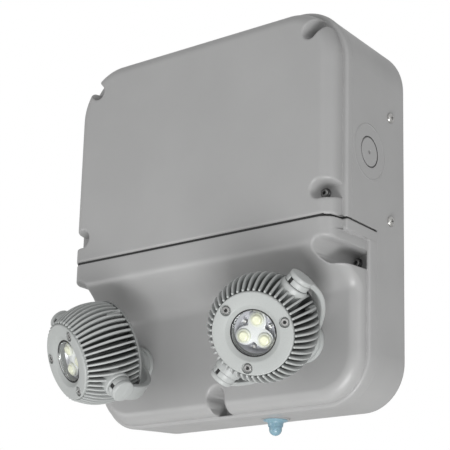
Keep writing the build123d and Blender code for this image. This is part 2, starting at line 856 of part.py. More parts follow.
for side, name in ((-1, "left"), (1, "right")):
    pivot = Vector(side * lamp_x, -pivot_depth, lamp_z)
    hinge = Vector(cos(pan), 0, side * sin(pan))
    aim = Vector(side * sin(tilt) * sin(pan), -cos(tilt), -sin(tilt) * cos(pan))
    lamp = Plane(origin=pivot, x_dir=hinge, z_dir=aim)
    section = Plane(origin=pivot, x_dir=hinge, z_dir=hinge.cross(aim))
    lamp_axis = Axis(pivot, aim)
    yoke_plane = Plane(origin=pivot, x_dir=hinge, z_dir=hinge.cross(Vector(0, 1, 0)))
    place = (side * lamp_x, lamp_z)

    with BuildPart() as swivel_post:
        with BuildSketch(front_plane(post_back)):
            with Locations(place):
                Circle(post_radius)
        extrude(amount=post_front - post_back)
        with BuildSketch(front_plane(lamp_face_depth + running_gap)):
            with Locations(place):
                Circle(post_flange_radius)
        extrude(amount=post_flange_thick)
        with BuildSketch(front_plane(post_back)):
            with Locations(place):
                Circle(post_bore)
        extrude(amount=post_front - post_back, mode=Mode.SUBTRACT)
    save(swivel_post, f"{name}_swivel_post")

    with BuildPart() as swivel_washer:
        with BuildSketch(front_plane(washer_front)):
            with Locations(place):
                Circle(washer_radius)
                Circle(post_radius, mode=Mode.SUBTRACT)
        extrude(amount=-washer_thick)
    save(swivel_washer, f"{name}_swivel_washer")

    with BuildPart() as swivel_nut:
        with BuildSketch(front_plane(washer_front - washer_thick)):
            with Locations(place):
                RegularPolygon(swivel_nut_radius, 6)
                Circle(post_radius, mode=Mode.SUBTRACT)
        extrude(amount=-swivel_nut_thick)
    save(swivel_nut, f"{name}_swivel_nut")

    with BuildPart() as yoke:
        with BuildSketch(yoke_plane):
            Ellipse(yoke_span + yoke_thick / 2, yoke_reach + yoke_thick / 2)
            Ellipse(yoke_span - yoke_thick / 2, yoke_reach - yoke_thick / 2, mode=Mode.SUBTRACT)
            with Locations((0, -yoke_reach)):
                Rectangle(4 * yoke_span, 2 * yoke_reach, mode=Mode.SUBTRACT)
        extrude(amount=yoke_width / 2, both=True)
        with BuildSketch(front_plane(post_front)):
            with Locations(place):
                Circle(yoke_seat_radius)
        extrude(amount=yoke_seat_thick)
        for end in (-1, 1):
            knuckle = Plane(
                origin=pivot + hinge * end * (pad_face + running_gap),
                x_dir=(0, -1, 0),
                z_dir=hinge * end,
            )
            with BuildSketch(knuckle):
                Circle(knuckle_radius)
            extrude(amount=knuckle_thick)
            with BuildSketch(knuckle):
                with Locations((knuckle_radius, 0)):
                    Rectangle(2 * knuckle_slot[1], knuckle_slot[0])
            extrude(amount=knuckle_slot[2], mode=Mode.SUBTRACT)
            with BuildSketch(knuckle):
                Circle(pin_radius + pin_clearance)
            extrude(amount=pin_reach, mode=Mode.SUBTRACT)
        with BuildSketch(front_plane(post_front)):
            with Locations(place):
                Circle(post_bore)
        extrude(amount=yoke_seat_thick + yoke_thick, mode=Mode.SUBTRACT)
    save(yoke, f"{name}_yoke")

    with BuildPart() as pivot_pins:
        for end in (-1, 1):
            with BuildSketch(
                Plane(origin=pivot + hinge * end * (pad_face - pin_depth), z_dir=hinge * end)
            ):
                Circle(pin_radius)
            extrude(amount=pin_depth + pin_reach)
    save(pivot_pins, f"{name}_pivot_pins")

    with BuildPart() as fin:
        with BuildSketch(section):
            with BuildLine():
                Polyline(
                    (fin_rear_radius, rear_face),
                    (rear_bore + fin_thick, rear_face),
                    (rear_bore + fin_thick, plate_back),
                    (fin_front_radius, plate_back),
                )
                ThreePointArc(
                    (fin_front_radius, plate_back),
                    (fin_belly_radius, belly_offset),
                    (fin_rear_radius, rear_face),
                )
            make_face()
        extrude(amount=fin_thick / 2, both=True)

    with BuildPart() as head_body:
        with BuildSketch(section):
            with BuildLine():
                Polyline(
                    (core_rear_radius, rear_face),
                    (rear_flange_radius, rear_face),
                    (rear_flange_radius, rear_face - rear_flange_thick),
                    (0, rear_face - rear_flange_thick),
                    (0, plate_back),
                    (core_front_radius, plate_back),
                )
                ThreePointArc(
                    (core_front_radius, plate_back),
                    (core_belly_radius, belly_offset),
                    (core_rear_radius, rear_face),
                )
            make_face()
        revolve(axis=lamp_axis)
        fins = [fin.part.rotate(lamp_axis, 360 / fin_count * k) for k in range(fin_count)]
        add(fins)
        for end in (-1, 1):
            with BuildSketch(Plane(origin=pivot + hinge * end * rear_bore, z_dir=hinge * end)):
                Circle(pad_radius)
            extrude(amount=pad_face - rear_bore)
        with BuildSketch(lamp.offset(rear_face)):
            with Locations(*ring_of(rear_boss_circle, face_screw_angles)):
                Circle(rear_boss_radius)
        extrude(amount=rear_boss_length)
        with BuildSketch(lamp.offset(plate_back)):
            Circle(seal_radius)
        extrude(amount=-lens_thick, mode=Mode.SUBTRACT)
        with BuildSketch(lamp.offset(led_cup_floor)):
            Circle(led_cup_radius)
        extrude(amount=plate_back - led_cup_floor, mode=Mode.SUBTRACT)
        with BuildSketch(lamp.offset(rear_face - rear_flange_thick)):
            Circle(rear_bore)
        extrude(amount=rear_bore_end - rear_face + rear_flange_thick, mode=Mode.SUBTRACT)
        with BuildSketch(lamp):
            Circle(wire_hole_radius)
        extrude(amount=led_cup_floor, mode=Mode.SUBTRACT)
        with BuildSketch(lamp.offset(plate_back)):
            with Locations(*ring_of(face_screw_circle, face_screw_angles)):
                Circle(face_screw_radius)
        extrude(amount=face_plate_thick - face_screw_length, mode=Mode.SUBTRACT)
        for end in (-1, 1):
            with BuildSketch(
                Plane(origin=pivot + hinge * end * (pad_face - pin_depth), z_dir=hinge * end)
            ):
                Circle(pin_radius)
            extrude(amount=pin_depth, mode=Mode.SUBTRACT)
    save(head_body, f"{name}_head_body")

    with BuildPart() as rear_cap:
        with BuildSketch(lamp.offset(rear_face - rear_flange_thick)):
            Circle(rear_cap_radius)
        extrude(amount=-rear_cap_thick)
        rear_edges = edges().filter_by(GeomType.CIRCLE).sort_by(lamp_axis)
        fillet(rear_edges[0], rear_cap_thick / 2)
    save(rear_cap, f"{name}_rear_cap")

    with BuildPart() as face_plate:
        with BuildSketch(section):
            Polygon(
                (window_radius + seal_show, plate_back),
                (face_radius, plate_back),
                (face_radius, face_front - face_edge),
                (face_radius - face_edge, face_front),
                (dish_radius, face_front),
                (window_radius + seal_show, plate_back + lens_proud),
                align=None,
            )
        revolve(axis=lamp_axis)
        with BuildSketch(lamp.offset(face_front)):
            with Locations(*ring_of(face_screw_circle, face_screw_angles)):
                Circle(face_screw_head + slide_clearance)
        extrude(amount=-face_screw_sink, mode=Mode.SUBTRACT)
        with BuildSketch(lamp.offset(plate_back)):
            with Locations(*ring_of(face_screw_circle, face_screw_angles)):
                Circle(face_screw_radius + slide_clearance)
        extrude(amount=face_plate_thick, mode=Mode.SUBTRACT)
    save(face_plate, f"{name}_face_plate")

    screw_seat = lamp.offset(face_front - face_screw_sink)
    with BuildPart() as face_screws:
        with BuildSketch(screw_seat):
            with Locations(*ring_of(face_screw_circle, face_screw_angles)):
                Circle(face_screw_head)
        extrude(amount=face_screw_sink)
        with BuildSketch(screw_seat):
            with Locations(*ring_of(face_screw_circle, face_screw_angles)):
                Circle(face_screw_radius)
        extrude(amount=face_screw_sink - face_screw_length)
        with BuildSketch(lamp.offset(face_front)):
            with Locations(*ring_of(face_screw_circle, face_screw_angles)):
                RegularPolygon(face_screw_radius, 6)
        extrude(amount=-face_screw_socket, mode=Mode.SUBTRACT)
    save(face_screws, f"{name}_face_screws")

    with BuildPart() as lens:
        with BuildSketch(lamp.offset(plate_back - lens_thick)):
            Circle(window_radius)
        extrude(amount=lens_thick + lens_proud)
    save(lens, f"{name}_lens")

    with BuildPart() as lens_seal:
        with BuildSketch(lamp.offset(plate_back - lens_thick)):
            Circle(seal_radius)
            Circle(window_radius, mode=Mode.SUBTRACT)
        extrude(amount=lens_thick)
    save(lens_seal, f"{name}_lens_seal")

    with BuildPart() as led_board:
        with BuildSketch(lamp.offset(led_cup_floor)):
            Circle(led_cup_radius)
        extrude(amount=led_board_thick)
    save(led_board, f"{name}_led_board")

    with BuildPart() as led_optics:
        with BuildSketch(lamp.offset(led_cup_floor + led_board_thick)):
            with Locations(*ring_of(led_circle, led_angles)):
                Circle(led_radius)
        extrude(amount=led_height)
        tips = edges().filter_by(GeomType.CIRCLE).sort_by(lamp_axis)[-len(led_angles):]
        fillet(tips, led_dome)
    save(led_optics, f"{name}_led_optics")
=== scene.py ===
"""Looks of a wall-mounted emergency light with two aimed lamp heads, in metres, over its CAD model."""
import logging
import math
from dataclasses import dataclass
from enum import Enum
from typing import Iterable, Sequence

import bmesh
import bpy
import numpy as np
from mathutils import Matrix, Vector


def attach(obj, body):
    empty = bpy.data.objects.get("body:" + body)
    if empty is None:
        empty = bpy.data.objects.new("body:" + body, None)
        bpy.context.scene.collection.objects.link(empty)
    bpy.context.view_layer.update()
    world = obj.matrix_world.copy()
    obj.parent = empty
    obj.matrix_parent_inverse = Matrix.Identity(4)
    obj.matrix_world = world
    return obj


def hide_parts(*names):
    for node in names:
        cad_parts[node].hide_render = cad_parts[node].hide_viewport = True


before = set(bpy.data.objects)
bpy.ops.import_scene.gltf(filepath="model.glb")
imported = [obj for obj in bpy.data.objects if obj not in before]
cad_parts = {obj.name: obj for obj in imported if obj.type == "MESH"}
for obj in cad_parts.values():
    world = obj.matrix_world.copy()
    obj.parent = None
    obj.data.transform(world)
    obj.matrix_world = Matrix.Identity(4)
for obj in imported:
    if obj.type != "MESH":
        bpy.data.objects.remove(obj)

logging.basicConfig(level=logging.INFO, format="%(message)s")
LOG = logging.getLogger("emergency_light")
MM = 0.001
TURN = 2 * math.pi
Pair = tuple[float, float]
Points = Sequence[Pair]
Triple = tuple[float, float, float]
Shape = bmesh.types.BMesh
Socket = bpy.types.NodeSocket
Field = np.ndarray


# ---------------------------------------------------------------- node groups

class Graph:
    """A node tree with short calls for adding and linking nodes."""

    def __init__(self, tree: bpy.types.NodeTree) -> None:
        """Takes the tree that it works on."""
        self.tree = tree

    def add(self, kind: str, **settings: object) -> bpy.types.Node:
        """Adds a node.

        Args:
            kind: The node's type, such as "ShaderNodeMath".
            settings: Attributes of the node, or sockets by name with _ for a space.

        Returns:
            The new node.
        """
        node = self.tree.nodes.new(kind)
        for key, value in settings.items():
            if hasattr(node, key):
                setattr(node, key, value)
            else:
                node.inputs[key.replace("_", " ")].default_value = value
        return node

    def link(self, source: Socket, target: Socket) -> None:
        """Links an output to an input."""
        self.tree.links.new(source, target)

    def ramp(
        self, value: Socket, low: float, high: float, start: float = 0.0, end: float = 1.0
    ) -> Socket:
        """Maps a value's range.

        Args:
            value: The value.
            low: What becomes start.
            high: What becomes end.
            start: The result at low.
            end: The result at high.

        Returns:
            The mapped value.
        """
        node = self.add("ShaderNodeMapRange", From_Min=low, From_Max=high, To_Min=start, To_Max=end)
        self.link(value, node.inputs["Value"])
        return node.outputs["Result"]

    def times(self, value: Socket, by: Socket | float) -> Socket:
        """Multiplies.

        Args:
            value: The value.
            by: Another value or a number.

        Returns:
            Their product.
        """
        node = self.add("ShaderNodeMath", operation="MULTIPLY")
        self.link(value, node.inputs[0])
        if isinstance(by, float):
            node.inputs[1].default_value = by
        else:
            self.link(by, node.inputs[1])
        return node.outputs[0]

    def noise(self, **settings: float) -> bpy.types.Node:
        """Adds a noise texture that is fixed to the object.

        Args:
            settings: Its sockets by name.

        Returns:
            The node.
        """
        node = self.add("ShaderNodeTexNoise", **settings)
        self.link(self.add("ShaderNodeTexCoord").outputs["Object"], node.inputs["Vector"])
        return node

    def mix(self, mask: Socket, start: Socket | Triple, end: Triple) -> Socket:
        """Mixes two colours.

        Args:
            mask: 0 for the first colour, 1 for the second.
            start: The first colour.
            end: The second colour.

        Returns:
            The mixed colour.
        """
        node = self.add("ShaderNodeMix", data_type="RGBA")
        self.link(mask, node.inputs["Factor"])
        if isinstance(start, tuple):
            node.inputs[6].default_value = (*start, 1.0)
        else:
            self.link(start, node.inputs[6])
        node.inputs[7].default_value = (*end, 1.0)
        return node.outputs[2]


class Effect(Enum):
    """Node groups that the finishes share."""

    GRAIN = "surface_grain"
    WEAR = "edge_wear_and_highlight"
    DUST = "settled_dust"


def new_group(effect: Effect, inputs: dict[str, float], outputs: dict[str, str]) -> Graph:
    """Starts a node group with float inputs and the named outputs.

    Args:
        effect: Which shared effect the group holds.
        inputs: Each input's name and its usual value.
        outputs: Each output's name and its socket type.

    Returns:
        The group's graph, with its input and output nodes called In and Out.
    """
    tree = bpy.data.node_groups.new(effect.value, "ShaderNodeTree")
    for name, value in inputs.items():
        socket = tree.interface.new_socket(name=name, in_out="INPUT", socket_type="NodeSocketFloat")
        socket.default_value = value
    for name, kind in outputs.items():
        tree.interface.new_socket(name=name, in_out="OUTPUT", socket_type=kind)
    graph = Graph(tree)
    graph.add("NodeGroupInput", name="In")
    graph.add("NodeGroupOutput", name="Out")
    return graph


def make_grain() -> None:
    """Fine moulded or cast grain: a mask, slow mottling and a bumped normal with rounded edges."""
    graph = new_group(
        Effect.GRAIN,
        {"Scale": 900.0, "Height": 0.1, "Round": 0.0008},
        {"Mask": "NodeSocketFloat", "Mottle": "NodeSocketFloat", "Normal": "NodeSocketVector"},
    )
    inside, out = graph.tree.nodes["In"], graph.tree.nodes["Out"]
    fine = graph.noise(Detail=4.0, Roughness=0.6)
    slow = graph.noise(Scale=14.0, Detail=3.0)
    edge = graph.add("ShaderNodeBevel", samples=6)
    bump = graph.add("ShaderNodeBump", Distance=0.0004)
    graph.link(inside.outputs["Scale"], fine.inputs["Scale"])
    graph.link(inside.outputs["Round"], edge.inputs["Radius"])
    graph.link(edge.outputs["Normal"], bump.inputs["Normal"])
    graph.link(inside.outputs["Height"], bump.inputs["Strength"])
    graph.link(fine.outputs[0], bump.inputs["Height"])
    graph.link(graph.ramp(fine.outputs[0], 0.52, 0.72), out.inputs["Mask"])
    graph.link(graph.ramp(slow.outputs[0], 0.35, 0.65), out.inputs["Mottle"])
    graph.link(bump.outputs["Normal"], out.inputs["Normal"])


def make_wear_and_highlight() -> None:
    """Wear and a painted highlight on the edges: where the rounded normal turns away from the face's
    own.
    """
    graph = new_group(Effect.WEAR, {"Width": 0.0007}, {"Mask": "NodeSocketFloat"})
    edge = graph.add("ShaderNodeBevel", samples=6)
    turn = graph.add("ShaderNodeVectorMath", operation="DOT_PRODUCT")
    patchy = graph.noise(Scale=160.0, Detail=3.0)
    graph.link(graph.tree.nodes["In"].outputs["Width"], edge.inputs["Radius"])
    graph.link(edge.outputs["Normal"], turn.inputs[0])
    graph.link(graph.add("ShaderNodeNewGeometry").outputs["Normal"], turn.inputs[1])
    edges = graph.ramp(turn.outputs["Value"], 0.995, 0.86)
    both = graph.times(edges, graph.ramp(patchy.outputs[0], 0.42, 0.66))
    graph.link(both, graph.tree.nodes["Out"].inputs["Mask"])


def make_dust() -> None:
    """Faint dust on what looks up, broken by noise."""
    graph = new_group(Effect.DUST, {"Amount": 0.1}, {"Mask": "NodeSocketFloat"})
    split = graph.add("ShaderNodeSeparateXYZ")
    noise = graph.noise(Scale=45.0, Detail=6.0)
    graph.link(graph.add("ShaderNodeNewGeometry").outputs["Normal"], split.inputs[0])
    both = graph.times(graph.ramp(split.outputs["Z"], 0.3, 1.0), graph.ramp(noise.outputs[0], 0.3, 0.7))
    amount = graph.times(both, graph.tree.nodes["In"].outputs["Amount"])
    graph.link(amount, graph.tree.nodes["Out"].inputs["Mask"])


# ------------------------------------------------------------------- finishes

@dataclass(frozen=True)
class Finish:
    """A procedural material.

    Attributes:
        name: The record's slot that it belongs to, or a name of its own.
        colour: Linear base colour.
        speck: Colour of the grain's specks.
        rough: Roughness where the surface is clean.
        metallic: Share of metal.
        grain_size: Grain per metre.
        grain_height: How deep the grain looks.
        speck_share: How strongly the specks colour the surface.
        wear: Colour of the edges, for wear and for a painted edge highlight, a lighter base colour
            where there is none.
        round_by: Radius that sharp edges are rounded to, in metres.
        coat: Share of a clear coat.
        transmission: Share of light that passes through.
        subsurface: Share of light that scatters inside.
        dust: How much dust lies on what looks up.
    """

    name: str
    colour: Triple
    speck: Triple
    rough: float = 0.5
    metallic: float = 0.0
    grain_size: float = 900.0
    grain_height: float = 0.12
    speck_share: float = 0.15
    wear: Triple | None = None
    round_by: float = 0.0006
    coat: float = 0.0
    transmission: float = 0.0
    subsurface: float = 0.0
    dust: float = 0.08

    def material(self) -> bpy.types.Material:
        """Builds the material, once.

        Returns:
            The material, with its grain, mottling, edge wear with a painted edge highlight, and dust in
            nodes.
        """
        made = bpy.data.materials.get("finish_" + self.name)
        if made:
            return made
        made = bpy.data.materials.new("finish_" + self.name)
        made.use_nodes = True
        graph = Graph(made.node_tree)
        shader = made.node_tree.nodes["Principled BSDF"]
        grain, wear, dust = (
            graph.add("ShaderNodeGroup", node_tree=bpy.data.node_groups[effect.value])
            for effect in Effect
        )
        grain.inputs["Scale"].default_value = self.grain_size
        grain.inputs["Height"].default_value = self.grain_height
        grain.inputs["Round"].default_value = self.round_by
        wear.inputs["Width"].default_value = max(self.round_by, 0.0004)
        dust.inputs["Amount"].default_value = self.dust
        mottle = grain.outputs["Mottle"]
        shade = tuple(0.9 * value for value in self.colour)
        # Edges take a lighter colour: partly wear, partly a painted edge highlight.
        worn_and_lit_edge = self.wear or tuple(min(1.0, 1.15 * value) for value in self.colour)
        colour = graph.mix(graph.times(mottle, 0.5), self.colour, shade)
        colour = graph.mix(graph.times(grain.outputs["Mask"], self.speck_share), colour, self.speck)
        colour = graph.mix(graph.times(wear.outputs["Mask"], 0.5), colour, worn_and_lit_edge)
        colour = graph.mix(dust.outputs["Mask"], colour, (0.55, 0.54, 0.52))
        rough = graph.ramp(mottle, 0.0, 1.0, self.rough, min(1.0, self.rough + 0.12))
        graph.link(colour, shader.inputs["Base Color"])
        graph.link(rough, shader.inputs["Roughness"])
        graph.link(grain.outputs["Normal"], shader.inputs["Normal"])
        shader.inputs["Metallic"].default_value = self.metallic
        shader.inputs["Coat Weight"].default_value = self.coat
        shader.inputs["Transmission Weight"].default_value = self.transmission
        shader.inputs["Subsurface Weight"].default_value = self.subsurface
        shader.inputs["Subsurface Radius"].default_value = (0.004, 0.004, 0.003)
        return made


def clear_cover() -> bpy.types.Material:
    """Builds clear window glass that lets the light through to what lies behind it.

    Returns:
        The material.
    """
    made = bpy.data.materials.new("finish_lens")
    made.use_nodes = True
    graph = Graph(made.node_tree)
    shader = made.node_tree.nodes["Principled BSDF"]
    out = made.node_tree.nodes["Material Output"]
    shader.inputs["Base Color"].default_value = (0.96, 0.98, 0.97, 1.0)
    shader.inputs["Transmission Weight"].default_value = 1.0
    shader.inputs["IOR"].default_value = 1.45
    smudge = graph.noise(Scale=90.0, Detail=5.0)
    light = graph.add("ShaderNodeLightPath")
    through = graph.add("ShaderNodeBsdfTransparent")
    either = graph.add("ShaderNodeMixShader")
    graph.link(graph.ramp(smudge.outputs[0], 0.0, 1.0, 0.0, 0.05), shader.inputs["Roughness"])
    passing = graph.add("ShaderNodeMath", operation="MAXIMUM")
    graph.link(light.outputs["Is Shadow Ray"], passing.inputs[0])
    graph.link(light.outputs["Is Diffuse Ray"], passing.inputs[1])
    graph.link(passing.outputs[0], either.inputs["Fac"])
    graph.link(shader.outputs[0], either.inputs[1])
    graph.link(through.outputs[0], either.inputs[2])
    graph.link(either.outputs[0], out.inputs["Surface"])
    return made


def grey(level: float, blue: float = 0.0) -> Triple:
    """A grey, with its blue raised or lowered."""
    return (level, level, level + blue)


CAST = {"grain_size": 1300.0, "grain_height": 0.16, "speck_share": 0.25, "round_by": 0.0005}
METAL = {"metallic": 1.0, "grain_size": 700.0, "round_by": 0.0003}
FINISHES = {
    finish.name: finish
    for finish in (
        Finish("housing", grey(0.335), grey(0.27), 0.33, grain_size=1500.0, grain_height=0.10,
               speck_share=0.18, round_by=0.0016, dust=0.05),
        Finish("lamp", (0.40, 0.415, 0.41), (0.28, 0.295, 0.29), 0.36, **CAST),
        # A darker copy of the lamp paint: painted shade for the core and the deep fin gaps.
        Finish("lamp_core_painted_shade", (0.19, 0.197, 0.195), (0.14, 0.146, 0.144), **CAST),
        Finish("lamp_face", (0.37, 0.385, 0.378), (0.26, 0.272, 0.267), 0.40, grain_size=1100.0,
               grain_height=0.18, speck_share=0.35, round_by=0.0005),
        Finish("screw", (0.56, 0.555, 0.54), (0.33, 0.325, 0.31), 0.28, wear=(0.8, 0.79, 0.76),
               **METAL),
        Finish("steel", grey(0.38, -0.005), grey(0.24, -0.005), 0.30, wear=grey(0.55, -0.01), **METAL),
        Finish("dark_screw", grey(0.03, 0.002), grey(0.08), 0.38, metallic=0.6, grain_size=800.0,
               wear=(0.35, 0.34, 0.33), round_by=0.0003),
        Finish("gasket", grey(0.012), grey(0.03), 0.6, dust=0.02),
        Finish("chassis", (0.55, 0.56, 0.57), (0.40, 0.41, 0.42), 0.35, metallic=1.0,
               grain_size=120.0, speck_share=0.5, round_by=0.0003),
        Finish("battery", grey(0.03, 0.005), grey(0.06)),
        Finish("board", (0.02, 0.13, 0.06), (0.03, 0.20, 0.09), 0.35, grain_size=260.0, speck_share=0.6,
               coat=0.4),
        Finish("transformer", (0.20, 0.19, 0.18), (0.10, 0.09, 0.08), 0.45, metallic=0.5),
        Finish("terminal", grey(0.62, -0.04), grey(0.5, -0.04)),
        Finish("switch", grey(0.04), grey(0.08)),
        Finish("button", (0.27, 0.44, 0.53), (0.2, 0.36, 0.46), 0.26, grain_size=500.0, speck_share=0.1,
               transmission=0.3, subsurface=0.3),
        Finish("brass", (0.72, 0.52, 0.22), (0.5, 0.34, 0.12), 0.3, metallic=1.0),
        Finish("led_board", grey(0.62, 0.04), grey(0.50, 0.04), 0.3, metallic=0.2, grain_size=500.0,
               speck_share=0.2, round_by=0.0003),
        Finish("led", grey(0.78, -0.18), grey(0.70, -0.20), 0.2, grain_size=300.0, speck_share=0.3,
               coat=0.6, subsurface=0.3, round_by=0.0005, dust=0.0),
        Finish("led_ring", (0.70, 0.71, 0.71), (0.58, 0.59, 0.59), 0.3, coat=0.3, subsurface=0.2,
               round_by=0.0004, dust=0.0),
        Finish("led_rim", (0.74, 0.75, 0.66), (0.66, 0.67, 0.58), 0.22, coat=0.5, subsurface=0.3,
               round_by=0.0004, dust=0.0),
        Finish("head_dark", grey(0.10, 0.005), grey(0.16), 0.35, metallic=0.8, grain_size=700.0,
               wear=(0.5, 0.49, 0.48), round_by=0.0003),
        # Near-black finish for sheets and marks painted as the shade in sockets, slots and gaps.
        Finish("painted_shade_black", grey(0.01), grey(0.02), dust=0.0),
        Finish("floor", grey(0.82, -0.01), grey(0.80, -0.01), 0.7, grain_size=24.0, grain_height=0.05,
               dust=0.0),
    )
}


def surface(name: str) -> bpy.types.Material:
    """Finds or builds the material of a finish.

    Args:
        name: The finish's name, or lens for the clear window.

    Returns:
        The material.
    """
    if name == "lens":
        return bpy.data.materials.get("finish_lens") or clear_cover()
    return FINISHES[name].material()


# --------------------------------------------------------------------- shapes

def lathe(profile: Points, steps: int = 72) -> Shape:
    """Turns a profile of (radius, height) points about Z.

    Args:
        profile: The points in order, closed by repeating the first one.
        steps: How many steps the turn has.

    Returns:
        The turned shape.
    """
    shape = bmesh.new()
    corners = [shape.verts.new((radius, 0.0, height)) for radius, height in profile]
    edges = [shape.edges.new(pair) for pair in zip(corners, corners[1:])]
    bmesh.ops.spin(
        shape, geom=corners + edges, cent=(0, 0, 0), axis=(0, 0, 1), angle=TURN, steps=steps,
        use_merge=True,
    )
    bmesh.ops.remove_doubles(shape, verts=shape.verts, dist=0.0005)
    bmesh.ops.recalc_face_normals(shape, faces=shape.faces)
    return shape


def prism(outline: Points, height: float) -> Shape:
    """Lifts an outline in XY along Z.

    Args:
        outline: Its points, not closed.
        height: How far it is lifted.

    Returns:
        The solid shape.
    """
    shape = bmesh.new()
    shape.faces.new([shape.verts.new((x, y, 0.0)) for x, y in outline])
    raise_faces(shape, height)
    return shape


def soften(shape: Shape, by: float, segments: int = 2, sharper_than: float = 35.0) -> Shape:
    """Rounds the sharp edges.

    Args:
        shape: The shape, which is changed.
        by: How far the rounding reaches.
        segments: Its number of facets.
        sharper_than: Edges that turn more than this, in degrees, are rounded.

    Returns:
        The same shape.
    """
    shape.normal_update()
    limit = math.radians(sharper_than)
    sharp = [edge for edge in shape.edges if edge.is_manifold and edge.calc_face_angle() > limit]
    bmesh.ops.bevel(
        shape, geom=sharp, offset=by, segments=segments, profile=0.5, affect="EDGES",
        clamp_overlap=True, material=-1,
    )
    return shape


def circle(radius: float, count: int) -> list[Pair]:
    """Points around a circle."""
    turns = (TURN * k / count for k in range(count))
    return [(radius * math.cos(turn), radius * math.sin(turn)) for turn in turns]


def rod(radius: float, low: float, high: float, steps: int = 20) -> Shape:
    """A plain round rod along Z."""
    return lathe([(0.0, low), (radius, low), (radius, high), (0.0, high)], steps)


def stub(radius: float, low: float, high: float, cut: float, steps: int = 20) -> Shape:
    """A round rod along Z with its upper rim cut at 45 degrees."""
    rim = [(radius, low), (radius, high - cut), (radius - cut, high)]
    return lathe([(0.0, low), *rim, (0.0, high)], steps)


def arc_through(start: Vector, middle: Vector, end: Vector, count: int) -> list[Pair]:
    """Finds points along the arc through three points.

    Args:
        start: The arc's start.
        middle: A point on the way.
        end: The arc's end.
        count: The number of steps between the two ends.

    Returns:
        The points, both ends included.
    """
    a, b = middle - start, end - middle
    p, q = (start + middle) / 2, (middle + end) / 2
    slack = (q - p).dot(b) / (Vector((-a.y, a.x)).dot(b))
    centre = p + Vector((-a.y, a.x)) * slack
    first = math.atan2(start.y - centre.y, start.x - centre.x)
    last = math.atan2(end.y - centre.y, end.x - centre.x)
    radius = (start - centre).length
    sweep = math.remainder(last - first, TURN)
    turns = [first + sweep * k / count for k in range(count + 1)]
    return [(centre.x + radius * math.cos(turn), centre.y + radius * math.sin(turn)) for turn in turns]


def spot(origin: Vector, x: Vector, z: Vector) -> Matrix:
    """A local frame with this origin and these X and Z axes, in millimetres."""
    turn = Matrix((x.normalized(), z.cross(x).normalized(), z.normalized())).transposed()
    return Matrix.Translation(origin) @ turn.to_4x4()


def lift(height: float) -> Matrix:
    """A move along Z."""
    return Matrix.Translation((0.0, 0.0, height))


def orbit(radius: float, degrees: float, height: float = 0.0) -> Matrix:
    """A move to a radius and angle about Z, and up by a height."""
    turn = math.radians(degrees)
    return Matrix.Translation((radius * math.cos(turn), radius * math.sin(turn), height))


def join(target: Shape, extra: Shape) -> None:
    """Adds a shape to another one.

    Args:
        target: The shape that grows.
        extra: The shape that is added, and used up.
    """
    carrier = bpy.data.meshes.new("carrier")
    extra.to_mesh(carrier)
    extra.free()
    target.from_mesh(carrier)
    bpy.data.meshes.remove(carrier)


def fresh(extrusion: dict, kind: type = bmesh.types.BMVert) -> list:
    """The new vertices of an extrusion, or its new parts of another kind."""
    return [item for item in extrusion["geom"] if isinstance(item, kind)]


def raise_faces(shape: Shape, height: float) -> None:
    """Extrudes every face of a flat shape along Z and points its faces outwards.

    Args:
        shape: The shape, which is changed.
        height: How far it rises.
    """
    lifted = bmesh.ops.extrude_face_region(shape, geom=shape.faces[:])
    bmesh.ops.translate(shape, verts=fresh(lifted), vec=(0, 0, height))
    bmesh.ops.recalc_face_normals(shape, faces=shape.faces)


def facing(x: float, depth: float, z: float) -> Matrix:
    """A local frame at a depth from the wall, its Z pointing to the front."""
    return spot(Vector((x, -depth, z)), Vector((1, 0, 0)), Vector((0, -1, 0)))


class Piece:
    """One visible piece, collected from shapes in millimetres and built in metres."""

    def __init__(self, name: str) -> None:
        """Starts an empty piece.

        Args:
            name: The name of its object.
        """
        self.name = name
        self.mesh = bmesh.new()
        self.finishes: list[str] = []

    def add(self, shape: Shape, finish: str, at: Matrix = Matrix.Identity(4)) -> "Piece":
        """Adds a shape.

        Args:
            shape: The shape, which is used up.
            finish: The name of its finish.
            at: Where it goes, in millimetres.

        Returns:
            The piece itself.
        """
        if finish not in self.finishes:
            self.finishes.append(finish)
        for face in shape.faces:
            face.material_index = self.finishes.index(finish)
        shape.transform(at)
        join(self.mesh, shape)
        return self

    def solid(self, at: Matrix = Matrix.Identity(4), sharp: float = 38.0) -> bpy.types.Object:
        """Makes the object, its place kept in its mesh.

        Args:
            at: Its place, in millimetres.
            sharp: The angle in degrees past which shading splits.

        Returns:
            The object.
        """
        mesh = bpy.data.meshes.new(self.name)
        self.mesh.transform(Matrix.Scale(MM, 4) @ at)
        for face in self.mesh.faces:
            face.smooth = True
        self.mesh.to_mesh(mesh)
        self.mesh.free()
        mesh.set_sharp_from_angle(angle=math.radians(sharp))
        for finish in self.finishes:
            mesh.materials.append(surface(finish))
        made = bpy.data.objects.new(self.name, mesh)
        bpy.context.scene.collection.objects.link(made)
        return made

    def place(
        self, body: str, slot: str, *nodes: str, at: Matrix = Matrix.Identity(4), sharp: float = 38.0
    ) -> bpy.types.Object:
        """Makes the object ride on a body in place of CAD nodes.

        Args:
            body: The CAD body that it moves with.
            slot: The record's slot of its finish; not used.
            nodes: The CAD nodes that it stands for.
            at: Its place, in millimetres.
            sharp: The angle in degrees past which shading splits.

        Returns:
            The object.
        """
        made = self.solid(at, sharp)
        if nodes:
            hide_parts(*nodes)
        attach(made, body)
        LOG.info("%s: %d faces on %s", made.name, len(made.data.polygons), body)
        return made


def carve(target: bpy.types.Object, tool: bpy.types.Object) -> None:
    """Cuts a tool out of an object.

    Args:
        target: The object that is cut.
        tool: The tool, which is removed afterwards.
    """
    cut = target.modifiers.new("cut", "BOOLEAN")
    cut.operation = "DIFFERENCE"
    cut.solver = "EXACT"
    cut.object = tool
    graph = bpy.context.evaluated_depsgraph_get()
    mesh = bpy.data.meshes.new_from_object(target.evaluated_get(graph))
    target.modifiers.clear()
    target.data = mesh
    bpy.data.objects.remove(tool)


# ----------------------------------------------------------------- the camera

